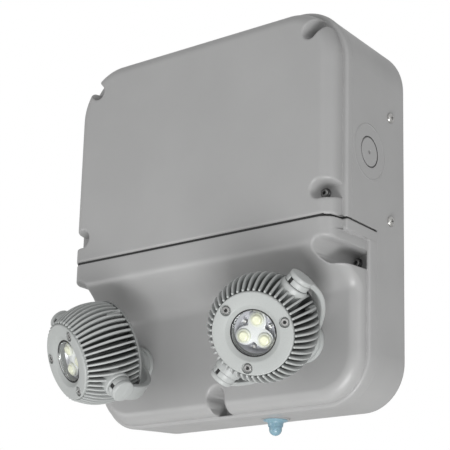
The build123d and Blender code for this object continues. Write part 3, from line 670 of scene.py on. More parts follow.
@dataclass(frozen=True)
class PhotoCamera:
    """The photograph's viewpoint, fitted to the housing's edges, in millimetres and radians."""

    place: Triple = (898.668, -1148.876, -415.679)
    yaw: float = 0.69442
    pitch: float = 0.29005
    roll: float = 0.02759
    focal_px: float = 1599.207
    frame_px: float = 450.0

    def create(self) -> None:
        """Creates the camera and makes it the scene's."""
        data = bpy.data.cameras.new("photo_camera")
        data.sensor_width = 36.0
        data.lens = self.focal_px / self.frame_px * data.sensor_width
        data.clip_start = 0.05
        data.clip_end = 50.0
        forward = Vector((
            -math.sin(self.yaw) * math.cos(self.pitch),
            math.cos(self.yaw) * math.cos(self.pitch),
            math.sin(self.pitch),
        ))
        level = forward.cross(Vector((0, 0, 1))).normalized()
        above = level.cross(forward)
        right = math.cos(self.roll) * level + math.sin(self.roll) * above
        up = math.cos(self.roll) * above - math.sin(self.roll) * level
        turn = Matrix((right, up, -forward)).transposed().to_4x4()
        camera = bpy.data.objects.new("photo_camera", data)
        camera.matrix_world = Matrix.Translation(Vector(self.place) * MM) @ turn
        bpy.context.scene.collection.objects.link(camera)
        bpy.context.scene.camera = camera


@dataclass(frozen=True)
class SoftBox:
    """An area light that looks at the housing."""

    name: str
    place: Triple
    side: float
    power: float
    target: Triple = (0.0, -0.05, 0.0)

    def create(self) -> None:
        """Adds the light to the scene."""
        data = bpy.data.lights.new(self.name, "AREA")
        data.size = self.side
        data.energy = self.power
        lamp = bpy.data.objects.new(self.name, data)
        lamp.location = self.place
        lamp.visible_camera = False
        aim = Vector(self.target) - Vector(self.place)
        lamp.rotation_euler = aim.to_track_quat("-Z", "Y").to_euler()
        bpy.context.scene.collection.objects.link(lamp)


@dataclass(frozen=True)
class Studio:
    """White surroundings, a pale floor well below and soft boxes."""

    ambient: float = 0.61
    floor_drop: float = -1.6
    lights: tuple[SoftBox, ...] = (
        SoftBox("low_key", (0.75, -1.0, -1.4), 0.8, 27.5),
        SoftBox("low_left", (-1.3, -1.2, -0.5), 0.8, 7.0),
        SoftBox("high_fill", (0.2, -2.4, 1.5), 1.4, 3.0),
        SoftBox("right_front", (2.3, -0.6, 0.1), 0.9, 6.5),
    )

    def create(self) -> None:
        """Builds the world, the floor and the lights."""
        world = bpy.data.worlds.new("studio")
        world.use_nodes = True
        graph = Graph(world.node_tree)
        plain = world.node_tree.nodes["Background"]
        plain.inputs["Color"].default_value = (1.0, 1.0, 1.0, 1.0)
        seen = graph.add("ShaderNodeLightPath").outputs["Is Camera Ray"]
        graph.link(graph.ramp(seen, 0.0, 1.0, self.ambient, 1.0), plain.inputs["Strength"])
        bpy.context.scene.world = world
        floor_shape = bmesh.new()
        bmesh.ops.create_grid(floor_shape, x_segments=8, y_segments=8, size=14000.0)
        floor = Piece("floor").add(floor_shape, "floor").solid(lift(self.floor_drop / MM))
        for box in self.lights:
            box.create()
        scene = bpy.context.scene
        scene.view_settings.view_transform = "Standard"
        scene.view_settings.look = "None"


# ------------------------------------------------------------------ the lamps

@dataclass(frozen=True)
class HeadSizes:
    """Sizes of a lamp head along its own axis, the front positive, in millimetres."""

    front: float = 26.4
    plate_back: float = 22.9
    plate_radius: float = 34.7
    dish: float = 23.2
    window: float = 18.6
    seal: float = 21.0
    lens_thick: float = 2.6
    cup: float = 18.2
    cup_floor: float = 7.5
    board_thick: float = 1.6
    carrier_low: float = 15.0
    carrier_thick: float = 0.8
    rear: float = -24.4
    rear_flange: float = 43.8
    flange_thick: float = 2.0
    cap: float = 39.0
    cap_thick: float = 2.3
    bore: float = 27.0
    bore_end: float = -1.5
    core: Triple = (28.0, 31.0, 31.0)
    fin: Triple = (37.4, 46.2, 43.0)
    fin_edge: float = 4.2
    belly: float = -2.0
    fins: int = 48
    fin_thick: float = 1.9
    fin_root: float = 26.0
    screw_circle: float = 29.0
    screw_angles: tuple[float, ...] = (90.0, 210.0, 330.0)
    screw_head: float = 3.9
    screw_sink: float = 2.0
    led_circle: float = 10.4
    led_angles: tuple[float, ...] = (30.0, 150.0, 270.0)
    pad: float = 12.0
    pad_face: float = 47.5
    boss_circle: float = 40.5
    boss: float = 3.2
    boss_end: float = -10.4
    screw_shank: float = 1.8
    screw_length: float = 12.0
    socket: float = 1.7
    socket_depth: float = 1.2
    lobe_low: float = 8.4
    lobe_rise: float = 9.4
    column: float = 6.0
    stud_circle: float = 12.6
    cap_groove: float = 28.0


@dataclass(frozen=True)
class YokeSizes:
    """Sizes of the yoke that carries a head, in millimetres."""

    span: float = 55.0
    reach: float = 58.0
    thick: float = 4.6
    width: float = 15.0
    seat: float = 16.0
    seat_thick: float = 5.0
    knuckle: float = 10.5
    knuckle_start: float = 47.8
    knuckle_thick: float = 9.4
    slot: Triple = (4.0, 3.2, 5.0)
    post_flange: float = 18.0
    post_thick: float = 3.5
    post_sleeve: float = 9.0
    post_sunk: float = 20.0
    face_depth: float = 72.5
    bore: float = 4.0


class Lamp:
    """One lamp: its yoke and its head, aimed as the CAD model has them at rest."""

    pan = math.radians(42.0)
    tilt = math.radians(30.5)
    pivot_depth = 136.3
    across = 97.3
    height = -118.7

    def __init__(self, name: str, side: int) -> None:
        """Aims the lamp.

        Args:
            name: How the names of its pieces and nodes start.
            side: -1 for the left lamp, 1 for the right one.
        """
        self.name = name
        self.side = side
        self.head = HeadSizes()
        self.yoke = YokeSizes()
        self.pivot = Vector((side * self.across, -self.pivot_depth, self.height))
        self.hinge = Vector((math.cos(self.pan), 0.0, side * math.sin(self.pan)))
        aim = Vector((
            side * math.sin(self.tilt) * math.sin(self.pan),
            -math.cos(self.tilt),
            -math.sin(self.tilt) * math.cos(self.pan),
        ))
        self.axis = spot(self.pivot, self.hinge, aim)
        self.body = f"{name}_head"
        self.carrier = f"{name}_yoke"

    def build(self) -> None:
        """Builds every visible piece of the lamp."""
        self.finned_body()
        self.face_plate()
        self.face_screws()
        self.window()
        self.leds()
        self.rear_cap()
        self.arms()
        self.post()

    def outline(self, radii: Triple, count: int) -> list[Pair]:
        """Draws the barrel curve.

        Args:
            radii: Its radii at the face plate, the belly and the rear face.
            count: Its number of steps.

        Returns:
            Its points, from the front to the rear.
        """
        heights = (self.head.plate_back, self.head.belly, self.head.rear)
        return arc_through(*(Vector(place) for place in zip(radii, heights)), count)

    def fit(self, piece: Piece, slot: str, node: str, sharp: float = 38.0) -> None:
        """Places a piece of the head in place of its CAD node."""
        piece.place(self.body, slot, f"{self.name}_{node}", at=self.axis, sharp=sharp)

    def finned_body(self) -> None:
        """The cast body: a turned core with a rear flange, its fins, pivot pads and screw bosses; the
        core and the fins' inner webs take a darker finish painted as the shade in the fin gaps.
        """
        size = self.head
        piece = Piece(f"{self.name}_finned_body")
        front, back = size.plate_back, size.rear - size.flange_thick
        seat, flange, edge = front - size.lens_thick, size.rear_flange, 0.4
        profile = [(0.0, size.cup_floor), (size.cup, size.cup_floor), (size.cup, seat)]
        profile += [(size.seal, seat), (size.seal, front), *self.outline(size.core, 14)]
        profile += [(flange - edge, size.rear), (flange, size.rear - edge), (flange, back + edge)]
        profile += [(flange - edge, back), (size.bore, back), (size.bore, size.bore_end)]
        profile += [(0.0, size.bore_end)]
        # The core takes the darker finish, painted as the shade between the fins.
        piece.add(lathe(profile, 96), "lamp_core_painted_shade")
        # Each fin has a darker inner web from its root, painted as the shade deep in the gaps.
        inner = self.outline(tuple(radius - size.fin_edge for radius in size.fin), 16)
        web = [(size.fin_root, size.rear), (size.fin_root, front), *inner]
        clear, top = size.plate_radius + 0.2, size.front - 1.6
        rim = [(inner[0][0], front), (clear, front), (clear, top), (size.fin[0] - 0.6, top)]
        rim += self.outline(size.fin, 16) + inner[:0:-1]
        upright = Matrix.Rotation(math.pi / 2, 4, "X")
        for k in range(size.fins):
            turned = Matrix.Rotation(TURN * k / size.fins, 4, "Z") @ upright
            thin = size.fin_thick - 0.3
            for part, thick, finish in ((web, thin, "lamp_core_painted_shade"), (rim, size.fin_thick, "lamp")):
                fin = prism(part, thick)
                fin.transform(lift(-thick / 2))
                if finish == "lamp":
                    soften(fin, 0.5, 2, 60.0)
                piece.add(fin, finish, turned)
        for end in (-1, 1):
            pad = stub(size.pad, size.bore, size.pad_face, 0.8, 48)
            piece.add(pad, "lamp", Matrix.Rotation(end * math.pi / 2, 4, "Y"))
        for angle in size.screw_angles:
            boss = stub(size.boss, size.rear, size.boss_end, 0.5)
            piece.add(boss, "lamp", orbit(size.boss_circle, angle))
        self.fit(piece, "lamp", "head_body", 30.0)

    def face_plate(self) -> None:
        """The turned face plate with its dished opening and three sunk screw seats."""
        size = self.head
        front, back, outer = size.front, size.plate_back, size.plate_radius
        dish, inner = size.dish, size.window + 1.2
        profile = [
            (inner, back), (outer, back), (outer, front - 1.0), (outer - 0.35, front - 0.35),
            (outer - 1.0, front), (dish + 0.7, front), (dish + 0.15, front - 0.15),
            (dish - 0.35, front - 0.55), (inner + 0.3, back + 0.75), (inner, back + 0.5), (inner, back),
        ]
        plate = Piece(f"{self.name}_plate").add(lathe(profile, 120), "lamp_face").solid()
        seats = Piece("seats")
        for angle in size.screw_angles:
            seat = prism(circle(size.screw_head + 0.8, 40), 4.0)
            seats.add(seat, "painted_shade_black", orbit(size.screw_circle, angle, front - size.screw_sink))
        carve(plate, seats.solid())
        shape = bmesh.new()
        shape.from_mesh(plate.data)
        shape.transform(Matrix.Scale(1 / MM, 4))
        bpy.data.objects.remove(plate)
        self.fit(Piece(f"{self.name}_face").add(shape, "lamp_face"), "lamp_face", "face_plate", 25.0)

    def face_screws(self) -> None:
        """Three sunk socket screws with rounded heads and hexagon sockets."""
        size = self.head
        piece = Piece(f"{self.name}_screws")
        for angle in size.screw_angles:
            where = orbit(size.screw_circle, angle, size.front - size.screw_sink)
            height = size.screw_sink - 0.4
            head = socket_head(size.screw_head - 0.5, height, size.socket, size.socket_depth)
            piece.add(head, "steel", where)
            # A black disc at the socket's bottom, painted as the shade inside the socket.
            disc = rod(size.socket, 0.0, 0.1, 12)
            piece.add(disc, "painted_shade_black", where @ lift(height - size.socket_depth))
            piece.add(rod(size.screw_shank, -size.screw_length, 0.2), "screw", where)
        self.fit(piece, "screw", "face_screws")

    def window(self) -> None:
        """The clear window and the black seal that shows as a thin ring round it."""
        size = self.head
        back, window = size.plate_back, size.window
        low, high = back - size.lens_thick, back + 0.5
        pane = [(0.0, low), (window - 0.2, low), (window, low + 0.2), (window, high - 0.4),
                (window - 0.4, high), (0.0, high + 0.15)]
        self.fit(Piece(f"{self.name}_window").add(lathe(pane, 96), "lens"), "lens", "lens")
        seal = [(window, low), (size.seal, low), (size.seal, back), (window + 1.15, back + 0.35),
                (window + 0.05, back + 0.45), (window, low)]
        self.fit(Piece(f"{self.name}_seal").add(lathe(seal, 96), "gasket"), "gasket", "lens_seal")

    def leds(self) -> None:
        """The round board, the three-lobed light carrier on it, and three domed light sources."""
        size = self.head
        floor = size.cup_floor
        top = floor + size.board_thick
        board = Piece(f"{self.name}_board")
        disc = soften(prism(circle(size.cup, 96), size.board_thick), 0.2, 1)
        board.add(disc, "led_board", lift(floor))
        lobes = []
        for k in range(120):
            angle = TURN * k / 120
            swell = 0.5 + 0.5 * math.cos(3 * (angle - math.radians(size.led_angles[0])))
            reach = size.lobe_low + size.lobe_rise * swell ** 0.7
            lobes.append((reach * math.cos(angle), reach * math.sin(angle)))
        carrier = soften(prism(lobes, size.carrier_thick), 0.3, 2, 50.0)
        board.add(carrier, "led_ring", lift(size.carrier_low))
        board.add(rod(size.column, floor, size.carrier_low + 0.2, 32), "led_board")
        wall = size.cup - 0.1
        shade = [(wall, top), (wall, size.carrier_low), (wall - 2.5, top + 0.3), (wall, top)]
        board.add(lathe(shade), "led_board")
        for angle in size.led_angles:
            board.add(stub(1.5, 0.0, 4.9, 0.3), "screw", orbit(size.stud_circle, angle + 60, top))
        self.fit(board, "led_board", "led_board")
        optics = Piece(f"{self.name}_optics")
        for angle in size.led_angles:
            where = orbit(size.led_circle, angle, size.carrier_low + size.carrier_thick)
            ring = [(0.0, 0.0), (5.8, 0.0), (6.0, 1.3), (5.6, 1.9), (4.6, 2.3), (4.4, 1.8), (0.0, 1.8)]
            dome = [(4.4, 1.2), (4.4, 2.1), (4.1, 2.8), (3.4, 3.4), (2.6, 3.6), (2.4, 3.35), (0.0, 3.5)]
            optics.add(lathe(ring, 48), "led_rim", where)
            optics.add(lathe(dome, 48), "led", where)
        self.fit(optics, "led", "led_optics")

    def rear_cap(self) -> None:
        """The shallow cap that closes the body at the back, with its rounded rim and a moulded ring."""
        size = self.head
        back = size.rear - size.flange_thick
        end = back - size.cap_thick
        rim, groove = size.cap, size.cap_groove
        profile = [
            (0.0, back), (rim, back), (rim, end + 1.15), (rim - 0.35, end + 0.35), (rim - 1.15, end),
            (groove + 2.0, end), (groove + 1.6, end + 0.6), (groove + 0.4, end + 0.6), (groove, end),
            (0.0, end),
        ]
        cap = Piece(f"{self.name}_cap").add(lathe(profile, 96), "lamp")
        self.fit(cap, "lamp", "rear_cap", 25.0)

    def arms(self) -> None:
        """The yoke: a band bent to half an ellipse, its seat and the two slotted knuckles."""
        size = self.yoke
        count = 56
        turns = [math.pi * k / count for k in range(count + 1)]
        band = bmesh.new()
        outer, inner = (
            [band.verts.new((a * math.cos(turn), b * math.sin(turn), 0.0)) for turn in turns]
            for a, b in (
                (size.span + size.thick / 2, size.reach + size.thick / 2),
                (size.span - size.thick / 2, size.reach - size.thick / 2),
            )
        )
        for k in range(count):
            band.faces.new((outer[k], outer[k + 1], inner[k + 1], inner[k]))
        raise_faces(band, size.width)
        band.transform(lift(-size.width / 2))
        soften(band, 1.1, 3, 60.0)
        piece = Piece(f"{self.name}_arms")
        piece.add(band, "lamp", spot(self.pivot, self.hinge, self.hinge.cross(Vector((0, 1, 0)))))
        for end in (-1, 1):
            out = self.hinge * end
            start = spot(self.pivot + out * size.knuckle_start, Vector((0, -1, 0)), out)
            piece.add(self.knuckle(), "lamp", start)
            # A black sheet in each notch is its painted shade.
            piece.add(self.notch_shade(), "painted_shade_black", start)
        bore, rim, top = size.bore, size.seat, size.seat_thick
        seat = [(bore, 0.0), (rim, 0.0), (rim, top - 1.2), (rim - 0.4, top - 0.4), (rim - 1.2, top),
                (bore, top), (bore, 0.0)]
        place = facing(self.side * self.across, size.face_depth + size.post_thick, self.height)
        piece.add(lathe(seat, 64), "lamp", place)
        piece.place(self.carrier, "lamp", f"{self.name}_yoke")

    def knuckle(self) -> Shape:
        """Shapes a knuckle with a notch open to the front, its waist and softened edges.

        Returns:
            The knuckle, its axis along Z.
        """
        size = self.yoke
        width, depth, length = size.slot
        reach = size.knuckle
        half = math.asin(width / 2 / reach)
        count = 44
        turns = [half + (TURN - 2 * half) * k / count for k in range(count + 1)]
        outline = [(reach * math.cos(turn), reach * math.sin(turn)) for turn in turns]
        notch = [(reach - depth, -width / 2), (reach - depth, width / 2)]
        low = soften(prism(outline + notch, length), 0.35, 2, 50.0)
        high = prism(circle(reach, 48), size.knuckle_thick - length + 0.2)
        high.transform(lift(length - 0.2))
        join(low, soften(high, 1.4, 4, 50.0))
        return low

    def notch_shade(self) -> Shape:
        """Shapes a black sheet painted as the shade deep in a knuckle's notch.

        Returns:
            The black sheet, in the knuckle's frame.
        """
        width, depth, length = self.yoke.slot
        low, high = self.yoke.knuckle - depth - 0.1, self.yoke.knuckle - 1.3
        half = width / 2 + 0.1
        return prism([(low, -half), (high, -half), (high, half), (low, half)], length - 0.4)

    def post(self) -> None:
        """The swivel post's flange on the cover, with a softened rim."""
        size = self.yoke
        sleeve, rim, bore = size.post_sleeve, size.post_flange, size.bore
        top, end = size.post_thick, -size.post_sunk
        flange = lathe([
            (sleeve, end), (sleeve, 0.0), (rim, 0.0), (rim, top - 1.0), (rim - 0.3, top - 0.3),
            (rim - 1.0, top), (bore, top), (bore, end), (sleeve, end),
        ])
        piece = Piece(f"{self.name}_post")
        piece.add(flange, "lamp", facing(self.side * self.across, size.face_depth, self.height))
        piece.place(self.carrier, "lamp", f"{self.name}_swivel_post")


def socket_head(radius: float, height: float, socket: float, depth: float) -> Shape:
    """Shapes a socket screw's head with a rounded rim and a hexagon socket.

    Args:
        radius: The head's radius.
        height: Its height.
        socket: The hexagon's radius at its corners.
        depth: How deep the hexagon is.

    Returns:
        The head, standing on Z = 0.
    """
    shape = bmesh.new()
    edge = 0.5
    bmesh.ops.create_circle(shape, cap_ends=False, segments=36, radius=radius - edge)
    rim = shape.edges[:]
    for vert in shape.verts:
        vert.co.z = height
    hexagon = [shape.verts.new((x, y, height)) for x, y in circle(socket, 6)]
    inner = [shape.edges.new((hexagon[k - 1], hexagon[k])) for k in range(6)]
    bmesh.ops.triangle_fill(shape, edges=rim + inner, use_beauty=True)
    for face in [f for f in shape.faces if all(v in hexagon for v in f.verts)]:
        shape.faces.remove(face)
    down = bmesh.ops.extrude_edge_only(shape, edges=inner)
    bmesh.ops.translate(shape, verts=fresh(down), vec=(0, 0, -depth))
    bmesh.ops.contextual_create(shape, geom=fresh(down, bmesh.types.BMEdge))
    side = bmesh.ops.extrude_edge_only(shape, edges=rim)
    spread = radius / (radius - edge)
    for vert in fresh(side):
        vert.co = Vector((vert.co.x * spread, vert.co.y * spread, height - edge))
    skirt = bmesh.ops.extrude_edge_only(shape, edges=fresh(side, bmesh.types.BMEdge))
    bmesh.ops.translate(shape, verts=fresh(skirt), vec=(0, 0, edge - height))
    bmesh.ops.recalc_face_normals(shape, faces=shape.faces)
    return shape


# ---------------------------------------------------------------- the covers

def capsule(x: Field, z: Field, start: Triple, end: Triple) -> Field:
    """Distance to the hull of two circles, negative inside.

    Args:
        x: Places across.
        z: Places up.
        start: One circle as its centre and radius.
        end: The other circle.

    Returns:
        The distance at each place.
    """
    length = math.hypot(end[0] - start[0], end[1] - start[1])
    ux, uz = (end[0] - start[0]) / length, (end[1] - start[1]) / length
    along = (x - start[0]) * ux + (z - start[1]) * uz
    across = np.abs((z - start[1]) * ux - (x - start[0]) * uz)
    lean = (start[2] - end[2]) / length
    flat = math.sqrt(1.0 - lean * lean)
    key = flat * along - lean * across
    near_start = np.hypot(across, along) - start[2]
    near_end = np.hypot(across, along - length) - end[2]
    between = flat * across + lean * along - start[2]
    return np.where(key < 0, near_start, np.where(key > flat * length, near_end, between))


def rounding(inside: Field, radius: Field | float) -> Field:
    """How far an edge drops at a distance inside it, when it is rounded to this radius."""
    reach = np.clip(radius - inside, 0.0, radius)
    return radius - np.sqrt(np.maximum(radius * radius - reach * reach, 0.0))


@dataclass(frozen=True)
class Pocket:
    """A screw pocket with a rounded lip and walls that lean in towards its floor.

    Attributes:
        start: The circle at its closed end: centre across, centre up and radius at the face.
        end: The circle at its open end.
        floor: Depth of its floor from the wall.
        lip: Radius of its lip.
        lean: How far the wall leans in for each millimetre of depth.
    """

    start: Triple
    end: Triple
    floor: float
    lip: float
    lean: float

    def cut(self, x: Field, z: Field, depth: Field, face: float) -> Field:
        """Cuts the pocket into a surface.

        Args:
            x: Places across.
            z: Places up.
            depth: The surface's depth at each place.
            face: Depth of the face that the pocket's circles are given at.

        Returns:
            The depths after the cut.
        """
        inside = capsule(x, z, self.start, self.end) + (face - depth) * self.lean
        lip = np.minimum(self.lip, np.maximum(depth - self.floor, 0.0) / 2.0)
        drop = np.where(inside < 0, lip - inside / self.lean, rounding(inside, lip))
        lowered = depth - drop
        fillet = 1.6
        gap = np.clip((lowered - self.floor) / fillet, -1.0, 1.0)
        floor = np.where(gap < 1.0, self.floor + fillet * (1.0 + gap) ** 2 / 4.0, lowered)
        below = lowered < self.floor - fillet
        return np.minimum(depth, np.where(below, self.floor, floor))


def steps(*runs: Triple) -> list[float]:
    """Lists grid places.

    Args:
        runs: Each run's start, end and step size, which is evened out over the run.

    Returns:
        The places of all runs, in order.
    """
    places: list[float] = []
    for start, end, size in runs:
        count = max(1, round(abs(end - start) / size))
        places += [start + (end - start) * k / count for k in range(count)]
    places.append(runs[-1][1])
    return places


@dataclass(frozen=True)
class CoverSizes:
    """The covers' sizes in millimetres, as depths from the wall and places on it."""

    half_width: float = 149.0
    seam: float = -21.3
    lower_top: float = -23.3
    high_rim: float = 88.5
    low_rim: float = 46.5
    flange: float = 97.0
    low_front: float = 59.7
    face: float = 115.0
    lamp_face: float = 72.2
    flange_spread: float = 6.61
    rim_spread: float = 6.03
    low_spread: float = 4.07
    low_rim_spread: float = 3.17
    top_centre: Pair = (101.0, 122.0)
    low_centre: Pair = (108.0, -129.0)
    panel_inset: float = 5.0
    panel_round: float = 12.5
    low_inset: float = 3.2
    band_end: float = -38.5
    slope_end: float = -81.5
    strip_end: float = -32.8
    low_seat: float = 49.5
    post_hole: float = 10.4


class Cover:
    """A moulded cover drawn as a fine grid that follows its outline."""

    def __init__(self, name: str, node: str) -> None:
        """Names the cover.

        Args:
            name: The name of its object.
            node: The CAD node that it stands for.
        """
        self.name = name
        self.node = node
        self.size = CoverSizes()

    def grid(self, rows: Points, edge: Sequence[float], middle: int) -> tuple[Shape, Field, Field]:
        """Builds a grid whose rows reach from one side of the outline to the other.

        Args:
            rows: Each row's height and half width.
            edge: Places in from the side, the outermost first.
            middle: How many steps lie between the two innermost of them.

        Returns:
            The grid, and its vertices' places across and up.
        """
        columns = [("left", e) for e in edge] + [("middle", k / middle) for k in range(1, middle)]
        columns += [("right", e) for e in reversed(edge)]
        mesh = bmesh.new()
        across, up = len(columns) - 1, len(rows) - 1
        bmesh.ops.create_grid(mesh, x_segments=across, y_segments=up, size=1.0)
        x, z = np.zeros(len(mesh.verts)), np.zeros(len(mesh.verts))
        for index, vert in enumerate(mesh.verts):
            column = columns[round((vert.co.x + 1.0) / 2.0 * across)]
            height, half = rows[round((vert.co.y + 1.0) / 2.0 * up)]
            part, along = column
            inner = (half - edge[-1]) * (2.0 * along - 1.0)
            x[index] = {"left": along - half, "right": half - along, "middle": inner}[part]
            z[index] = height
        return mesh, x, z

    def shape(
        self, mesh: Shape, x: Field, z: Field, depth: Field, centre: Pair, back: float,
        back_radius: float,
    ) -> None:
        """Moves the grid to its depths and draws its rim back to the housing.

        Args:
            mesh: The grid.
            x: Its vertices' places across.
            z: Their places up.
            depth: Their depths from the wall.
            centre: The centre of the outline's round corner on the right.
            back: Depth of the rim's back edge.
            back_radius: Radius of that edge round the corner's centre.
        """
        for index, vert in enumerate(mesh.verts):
            vert.co = Vector((x[index], -depth[index], z[index]))
        border = [edge for edge in mesh.edges if edge.is_boundary]
        cx, cz = centre
        sign = math.copysign(1.0, cz)
        near = 6.0
        for vert in fresh(bmesh.ops.extrude_edge_only(mesh, edges=border)):
            out = Vector((max(abs(vert.co.x) - cx, 0.0), max(sign * (vert.co.z - cz), 0.0)))
            if out.length > back_radius - near:
                out *= back_radius / out.length
                vert.co.x = math.copysign(cx + out.x, vert.co.x) if out.x > 0 else vert.co.x
                vert.co.z = cz + sign * out.y if out.y > 0 else vert.co.z
            vert.co.y = -back
        bmesh.ops.recalc_face_normals(mesh, faces=mesh.faces)


class UpperCover(Cover):
    """The upper cover: a flange, a pillowed panel and four screw pockets."""

    def build(self) -> None:
        """Builds the cover in place of its CAD node."""
        size = self.size
        cx, cz = size.top_centre
        radius = size.half_width + size.flange_spread - cx
        near, fine, plain = size.seam + 0.8, size.seam + 3.2, 18.0
        heights = steps((size.seam, near, 0.2), (near, fine, 0.6), (fine, plain, 0.8), (plain, cz, 8.0))
        rows = [(z, cx + radius) for z in heights[:-1]]
        turn = steps((0.0, 10.0, 2.5), (10.0, 60.0, 0.75), (60.0, 90.0, 1.0))
        for t in map(math.radians, turn):
            rows.append((cz + radius * math.sin(t), cx + radius * math.cos(t)))
        edge = steps(
            (0.0, 0.8, 0.2), (0.8, 3.2, 0.6), (3.2, 4.9, 0.85), (4.9, 5.3, 0.13), (5.3, 36.0, 0.8))
        mesh, x, z = self.grid(rows, edge, 14)
        outer = radius - np.hypot(np.maximum(np.abs(x) - cx, 0.0), np.maximum(z - cz, 0.0))
        panel = outer - size.panel_inset
        low = z - size.seam
        rim = size.flange - rounding(outer, 3.0)
        face = size.face - rounding(panel, size.panel_round) - rounding(low, 2.4)
        for pocket in self.pockets():
            face = pocket.cut(x, z, face, size.face)
        depth = np.where(panel > 0.0, np.maximum(face, rim - 0.01), rim)
        back_radius = radius - size.flange_spread + size.rim_spread
        self.shape(mesh, x, z, depth, size.top_centre, size.high_rim, back_radius)
        Piece(self.name).add(mesh, "housing").place("housing", "housing", self.node, sharp=60.0)

    def pockets(self) -> Iterable[Pocket]:
        """Lists the screw pockets.

        Yields:
            The two side pockets and the two that run out at the corners.
        """
        floor = self.size.flange
        for side in (-1.0, 1.0):
            start, end = (side * 138.2, 1.5, 8.2), (side * 170.0, 1.5, 8.2)
            yield Pocket(start, end, floor, lip=2.2, lean=0.10)
            start, end = (side * 127.0, 148.0, 7.2), (side * 160.0, 181.0, 7.2)
            yield Pocket(start, end, floor, lip=2.0, lean=0.12)


class LowerCover(Cover):
    """The lower cover: the band under the seam, the slope, the lamp face and the screw pockets."""

    def build(self) -> None:
        """Builds the cover in place of its CAD node."""
        size = self.size
        cx, cz = size.low_centre
        radius = size.half_width + size.low_spread - cx
        strip = size.half_width + size.flange_spread
        turn = steps((90.0, 45.0, 1.0), (45.0, 0.0, 1.5))
        rows = [(cz - radius * math.sin(t), cx + radius * math.cos(t)) for t in map(math.radians, turn)]
        plain, ledge, top = -80.0, size.strip_end, size.lower_top
        heights = steps((cz, plain, 3.0), (plain, ledge - 1.0, 0.8), (ledge - 1.0, ledge - 0.05, 0.5))
        rows += [(z, cx + radius) for z in heights[1:]]
        heights = steps(
            (ledge, ledge + 1.4, 0.25), (ledge + 1.4, top - 1.2, 0.9), (top - 1.2, top, 0.2))
        rows += [(z, strip) for z in heights]
        edge = steps((0.0, 2.6, 0.35), (2.6, 3.1, 0.5), (3.1, 3.4, 0.1), (3.4, 40.0, 0.8))
        mesh, x, z = self.grid(rows, edge, 150)
        outer = radius - np.hypot(np.maximum(np.abs(x) - cx, 0.0), np.maximum(cz - z, 0.0))
        form = outer - size.low_inset
        fall = np.clip((size.band_end - z) / (size.band_end - size.slope_end), 0.0, 1.0)
        fall = fall ** 3 * (10.0 - 15.0 * fall + 6.0 * fall * fall)
        front = size.face + (size.lamp_face - size.face) * fall
        round_by = 11.0 + 1.5 * (1.0 - fall)
        seam = size.lower_top - z
        rim = size.low_front - rounding(outer, 2.4)
        ledge = z - size.strip_end
        wing = size.flange - rounding(strip - np.abs(x), 1.2) - rounding(ledge, 1.8)
        wing -= rounding(seam, 1.0)
        rim = np.where(ledge >= 0.0, wing, rim)
        face = front - rounding(form, round_by) - rounding(seam, 1.0)
        for pocket in self.pockets():
            beside = abs(pocket.start[0]) > 50.0
            face = pocket.cut(x, z, face, size.face if beside else size.lamp_face)
        depth = np.where(form > 0.0, face, rim)
        back_radius = size.half_width + size.low_rim_spread - cx
        self.shape(mesh, x, z, depth, size.low_centre, size.low_rim, back_radius)
        middles = ((face, face.calc_center_median()) for face in mesh.faces)
        holes = [
            face for face, at in middles
            if math.hypot(abs(at.x) - Lamp.across, at.z - Lamp.height) < size.post_hole
        ]
        bmesh.ops.delete(mesh, geom=holes, context="FACES")
        Piece(self.name).add(mesh, "housing").place("housing", "housing", self.node, sharp=60.0)

    def pockets(self) -> Iterable[Pocket]:
        """Lists the screw pockets.

        Yields:
            The two side troughs with their screw seats, and the bottom trough.
        """
        floor = self.size.low_seat
        for side in (-1.0, 1.0):
            start, end = (side * 140.2, -50.2, 9.4), (side * 178.0, -50.6, 9.4)
            yield Pocket(start, end, floor, lip=2.8, lean=0.02)
        yield Pocket((-4.0, -155.4, 8.8), (1.0, -184.0, 7.6), floor, lip=2.4, lean=0.05)


# ---------------------------------------------------------------- the housing

@dataclass(frozen=True)
class FittingSizes:
    """Sizes and places of what the housing carries outside, in millimetres."""

    lean: float = math.radians(3.9)
    upper_screws: Points = ((129.03, 150.03), (-129.03, 150.03), (134.53, 1.7), (-134.53, 1.7))
    lower_screws: Points = ((134.17, -49.2), (-134.17, -49.2), (0.0, -155.17))
    screw_head: float = 3.5
    screw_height: float = 4.0
    screw_shank: float = 2.35
    screw_length: float = 20.0
    socket: float = 1.9
    socket_depth: float = 2.2
    shade_low: float = -23.35
    shade_thick: float = 2.25
    shade_deep: float = 8.0
    side_screw_depth: float = 24.5
    side_screw_heights: Pair = (88.8, -7.7)
    side_shank: float = 2.1
    side_length: float = 9.0
    knockout_depth: float = 60.0
    knockout_height: float = 46.5
    button_place: Triple = (29.5, -27.0, -173.03)
    button: float = 5.8
    button_reach: float = 14.0
    button_inside: float = 6.0


